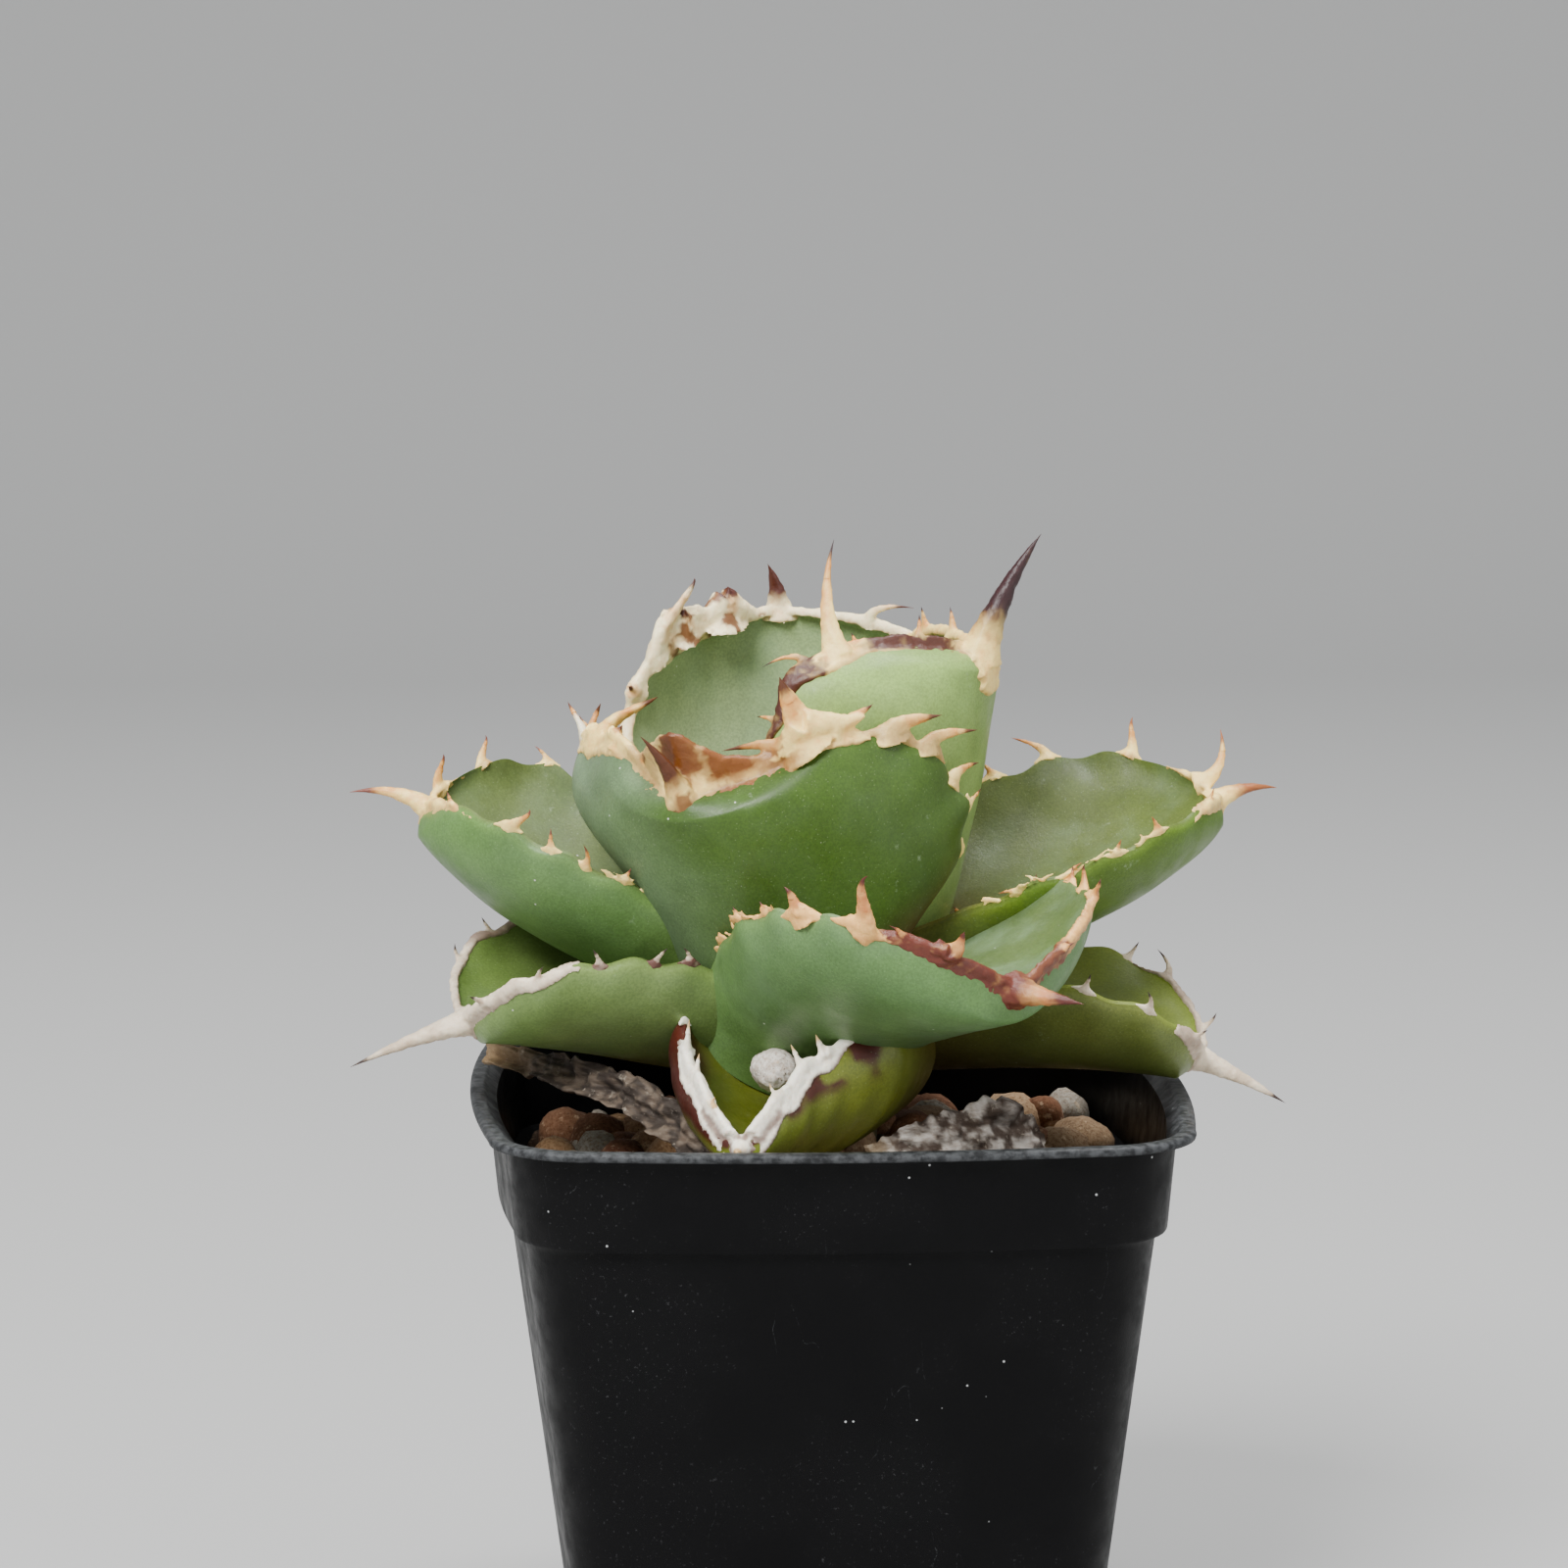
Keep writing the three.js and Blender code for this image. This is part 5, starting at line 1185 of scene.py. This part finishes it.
def run_through(stations, u):
    """Smooth values of a table of rows at u from 0 to the last row's number."""
    rows = np.array(stations, float)
    i = np.minimum(u.astype(int), len(rows) - 2)
    v = (u - i)[:, None]
    v = 0.5 * v * v * (3 - 2 * v) + 0.5 * v
    return rows[i] * (1 - v) + rows[i + 1] * v


def dry_leaf(name, stations, thick, crumple, colours, material, node, others):
    """A dried leaf: a crumpled strip through (x, y, z, half width, twist)."""
    count, across = 90, 34
    table = run_through(stations, np.linspace(0, len(stations) - 1.001, count))
    centre, half, twist = table[:, :3], table[:, 3], np.radians(table[:, 4])[:, None]
    T = unit(np.gradient(centre, axis=0))
    flat = unit(np.cross((0, 0, 1), T))
    lift = np.cross(T, flat)
    B = flat * np.cos(twist) + lift * np.sin(twist)
    N = np.cross(T, B)
    s = np.linspace(-1, 1, across)
    P = centre[:, None] + B[:, None] * (s[None, :, None] * half[:, None, None])
    flatP = P.reshape(-1, 3)
    across_s = np.tile(s, count)
    fold = crumple * (2.2 * cloud(flatP, 3.8, crumple, 3) + 0.9 * cloud(flatP, 1.5, 3, 2))
    fold += 0.35 * np.outer(half, s * s).ravel() + 0.3 * crumple * np.sin(5 * across_s)
    fold += 0.12 * crumple * np.sin(13 * across_s + 2.5 * cloud(flatP, 5.0, 12))
    ragged = 1 + 0.35 * cloud(flatP, 2.0, 8, 2) * np.abs(across_s) ** 3
    wide = ((s[None, :] * half[:, None]).ravel() * ragged).reshape(count, across, 1)
    P = centre[:, None] + B[:, None] * wide
    P = P + N[:, None] * fold.reshape(count, across, 1)
    top, under = P + N[:, None] * thick / 2, P - N[:, None] * thick / 2
    piece = make(name, loft(np.concatenate([top, under[:, ::-1]], 1)))
    relax = piece.modifiers.new("relax", "SMOOTH")
    relax.iterations = 2
    apply_modifiers(piece)
    carve(piece, others)
    Q = corners(piece)
    dark, pale, straw = (linear(c) for c in colours)
    # mottled from dark to pale at random; on the left dried leaf the pale is partly painted highlight
    tint = blend(np.tile(dark, (len(Q), 1)), pale, smooth(cloud(Q, 2.2, 6, 3), -0.25, 0.3))
    which, _ = nearest(centre, Q)
    tint = blend(tint, straw, smooth(which / count, 0.2, 0.0) * 0.8)
    paint(piece, "tint", tint * IN_STUDIO)
    soften(piece, 60)
    settle(piece, material, "dried_leaf", node)


# Making the plant
leaf_skin, horn_skin = leaf_material(), horn_material()
skins, grids = [], []
for leaf in LEAVES:
    piece, *grid = blade(leaf)
    skins.append(piece)
    grids.append(grid)
for i, piece in enumerate(skins):
    carve(piece, skins[:i])
    keep_largest(piece)
for i, leaf in enumerate(LEAVES):
    edge, samples, borders = horn_piece(leaf, [p for k, p in enumerate(skins) if k != i])
    P = corners(edge)
    paint(edge, "tint", horn_colours(leaf, P, normals(edge), samples, borders))
    value(edge, "chalk", np.full(len(P), LOOKS[leaf["name"]]["horn"]["chalk"]))
    settle(edge, horn_skin, "horn", "horn_" + leaf["name"])
for leaf, piece, (points, t, s, face) in zip(LEAVES, skins, grids):
    P = corners(piece)
    which, _ = nearest(points, P)
    paint(piece, "tint", leaf_colours(leaf, P, t[which], s[which], face[which]))
    value(piece, "bloom", LOOKS[leaf["name"]]["bloom"] * (0.5 + 0.5 * face[which]))
    soften(piece)
    settle(piece, leaf_skin, "leaf_green", "leaf_" + leaf["name"])

pot_piece(plastic_material())
gravel = pebble_material()
soil_piece(gravel)
dry = dry_material()
# The left dried leaf's pale colour is partly painted highlight, laid into its mottle at random
dry_leaf("dried_leaf_left", DEAD_LEFT, 0.8, 0.8, ((62, 50, 40), (124, 108, 92), (204, 170, 122)), dry,
         "dead_leaf_left", skins)
dry_leaf("dried_leaf_front", DEAD_RIGHT, 1.0, 0.9, ((84, 68, 56), (204, 196, 186), (200, 176, 140)), dry,
         "dead_leaf_right", skins)
x, y, z, r = PUMICE
pebble = make("pale_pumice", ball((x, y, z), (r, 0.85 * r, 0.8 * r), random.Random(7), 5, 0.12))
paint(pebble, "tint", np.tile(linear((222, 216, 206)), (len(pebble.data.vertices), 1)))
soften(pebble, 80)
settle(pebble, gravel, "pumice", "pumice_stone")

# The stem and the bud are nearly hidden: the solids themselves show, with a skin of their own
for node, colour in (("stem", (150, 140, 96)), ("heart_bud", (138, 160, 112))):
    m = Shader(node + "_skin")
    grain = m.noise(1.2, 4.0, 0.6, m.squeeze(1, 1, 0.3))
    m.set(Base_Color=m.mix(m.between(grain, 0.35, 0.7, 0.0, 0.5), colour, (112, 98, 70)), Roughness=0.6,
          Normal=m.bump(grain, 0.15, 0.6))
    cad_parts[node].data.materials.clear()
    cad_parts[node].data.materials.append(m.material)

# Floor and backdrop in one sweep, pale and plain
FLOOR_FRONT, FLOOR_BACK, WALL_TOP, HALF_WIDTH, SWEEP = -1.2, 1.1, 2.2, 2.2, 0.6
profile = [(FLOOR_FRONT, 0.0), (FLOOR_BACK, 0.0)]
profile += [(FLOOR_BACK + SWEEP * math.sin(a), SWEEP * (1 - math.cos(a)))
            for a in np.linspace(0.1, math.pi / 2, 14)]
profile.append((FLOOR_BACK + SWEEP, WALL_TOP))
points = [(x, y, z) for y, z in profile for x in (-HALF_WIDTH, HALF_WIDTH)]
sweep = bpy.data.meshes.new("studio_floor")
sweep.from_pydata(points, [], [(2 * i, 2 * i + 1, 2 * i + 3, 2 * i + 2) for i in range(len(profile) - 1)])
floor = bpy.data.objects.new("studio_floor", sweep)
bpy.context.scene.collection.objects.link(floor)
for f in sweep.polygons:
    f.use_smooth = True
m = Shader("pale_floor")
m.set(Base_Color=(0.4, 0.4, 0.394, 1), Roughness=0.9)
sweep.materials.append(m.material)

# Soft studio light
world = bpy.data.worlds.new("soft_room")
bpy.context.scene.world = world
world.use_nodes = True
world.node_tree.nodes["Background"].inputs[0].default_value = (0.95, 0.97, 1.0, 1)
world.node_tree.nodes["Background"].inputs[1].default_value = 0.68


def soft_light(name, place, size, power):
    """A square light of so many metres and watts that points at the plant."""
    data = bpy.data.lights.new(name, "AREA")
    data.shape, data.size, data.energy = "SQUARE", size, power
    lamp = bpy.data.objects.new(name, data)
    bpy.context.scene.collection.objects.link(lamp)
    lamp.location = place
    lamp.rotation_euler = (Vector((0, 0, 0.09)) - Vector(place)).to_track_quat("-Z", "Y").to_euler()


soft_light("key", (-0.45, -0.8, 0.95), 0.5, 27)
soft_light("fill", (0.9, -0.7, 0.4), 0.9, 4.2)
soft_light("top", (0.15, 0.1, 1.1), 0.5, 13)

# Camera: fitted to the pot's lip in the photo for a 9 cm pot
DISTANCE, ELEVATION, TURN = 750.0, math.radians(8), math.radians(3.2)
AIM_RIGHT, AIM_UP = -5.7, 39.5       # from the middle of the rim to the middle of the picture
LENS = 130.07
back = Vector((-math.sin(TURN) * math.cos(ELEVATION), -math.cos(TURN) * math.cos(ELEVATION),
               math.sin(ELEVATION)))
right = Vector((math.cos(TURN), -math.sin(TURN), 0))
up = back.cross(right)
eye = (Vector((0, 0, POT_HEIGHT)) + right * AIM_RIGHT + up * AIM_UP + back * DISTANCE) * MM
lens = bpy.data.cameras.new("camera")
lens.lens, lens.sensor_width, lens.clip_end = LENS, 36.0, 20.0
camera = bpy.data.objects.new("camera", lens)
bpy.context.scene.collection.objects.link(camera)
camera.matrix_world = Matrix.Translation(eye) @ Matrix((right, up, back)).transposed().to_4x4()
bpy.context.scene.camera = camera
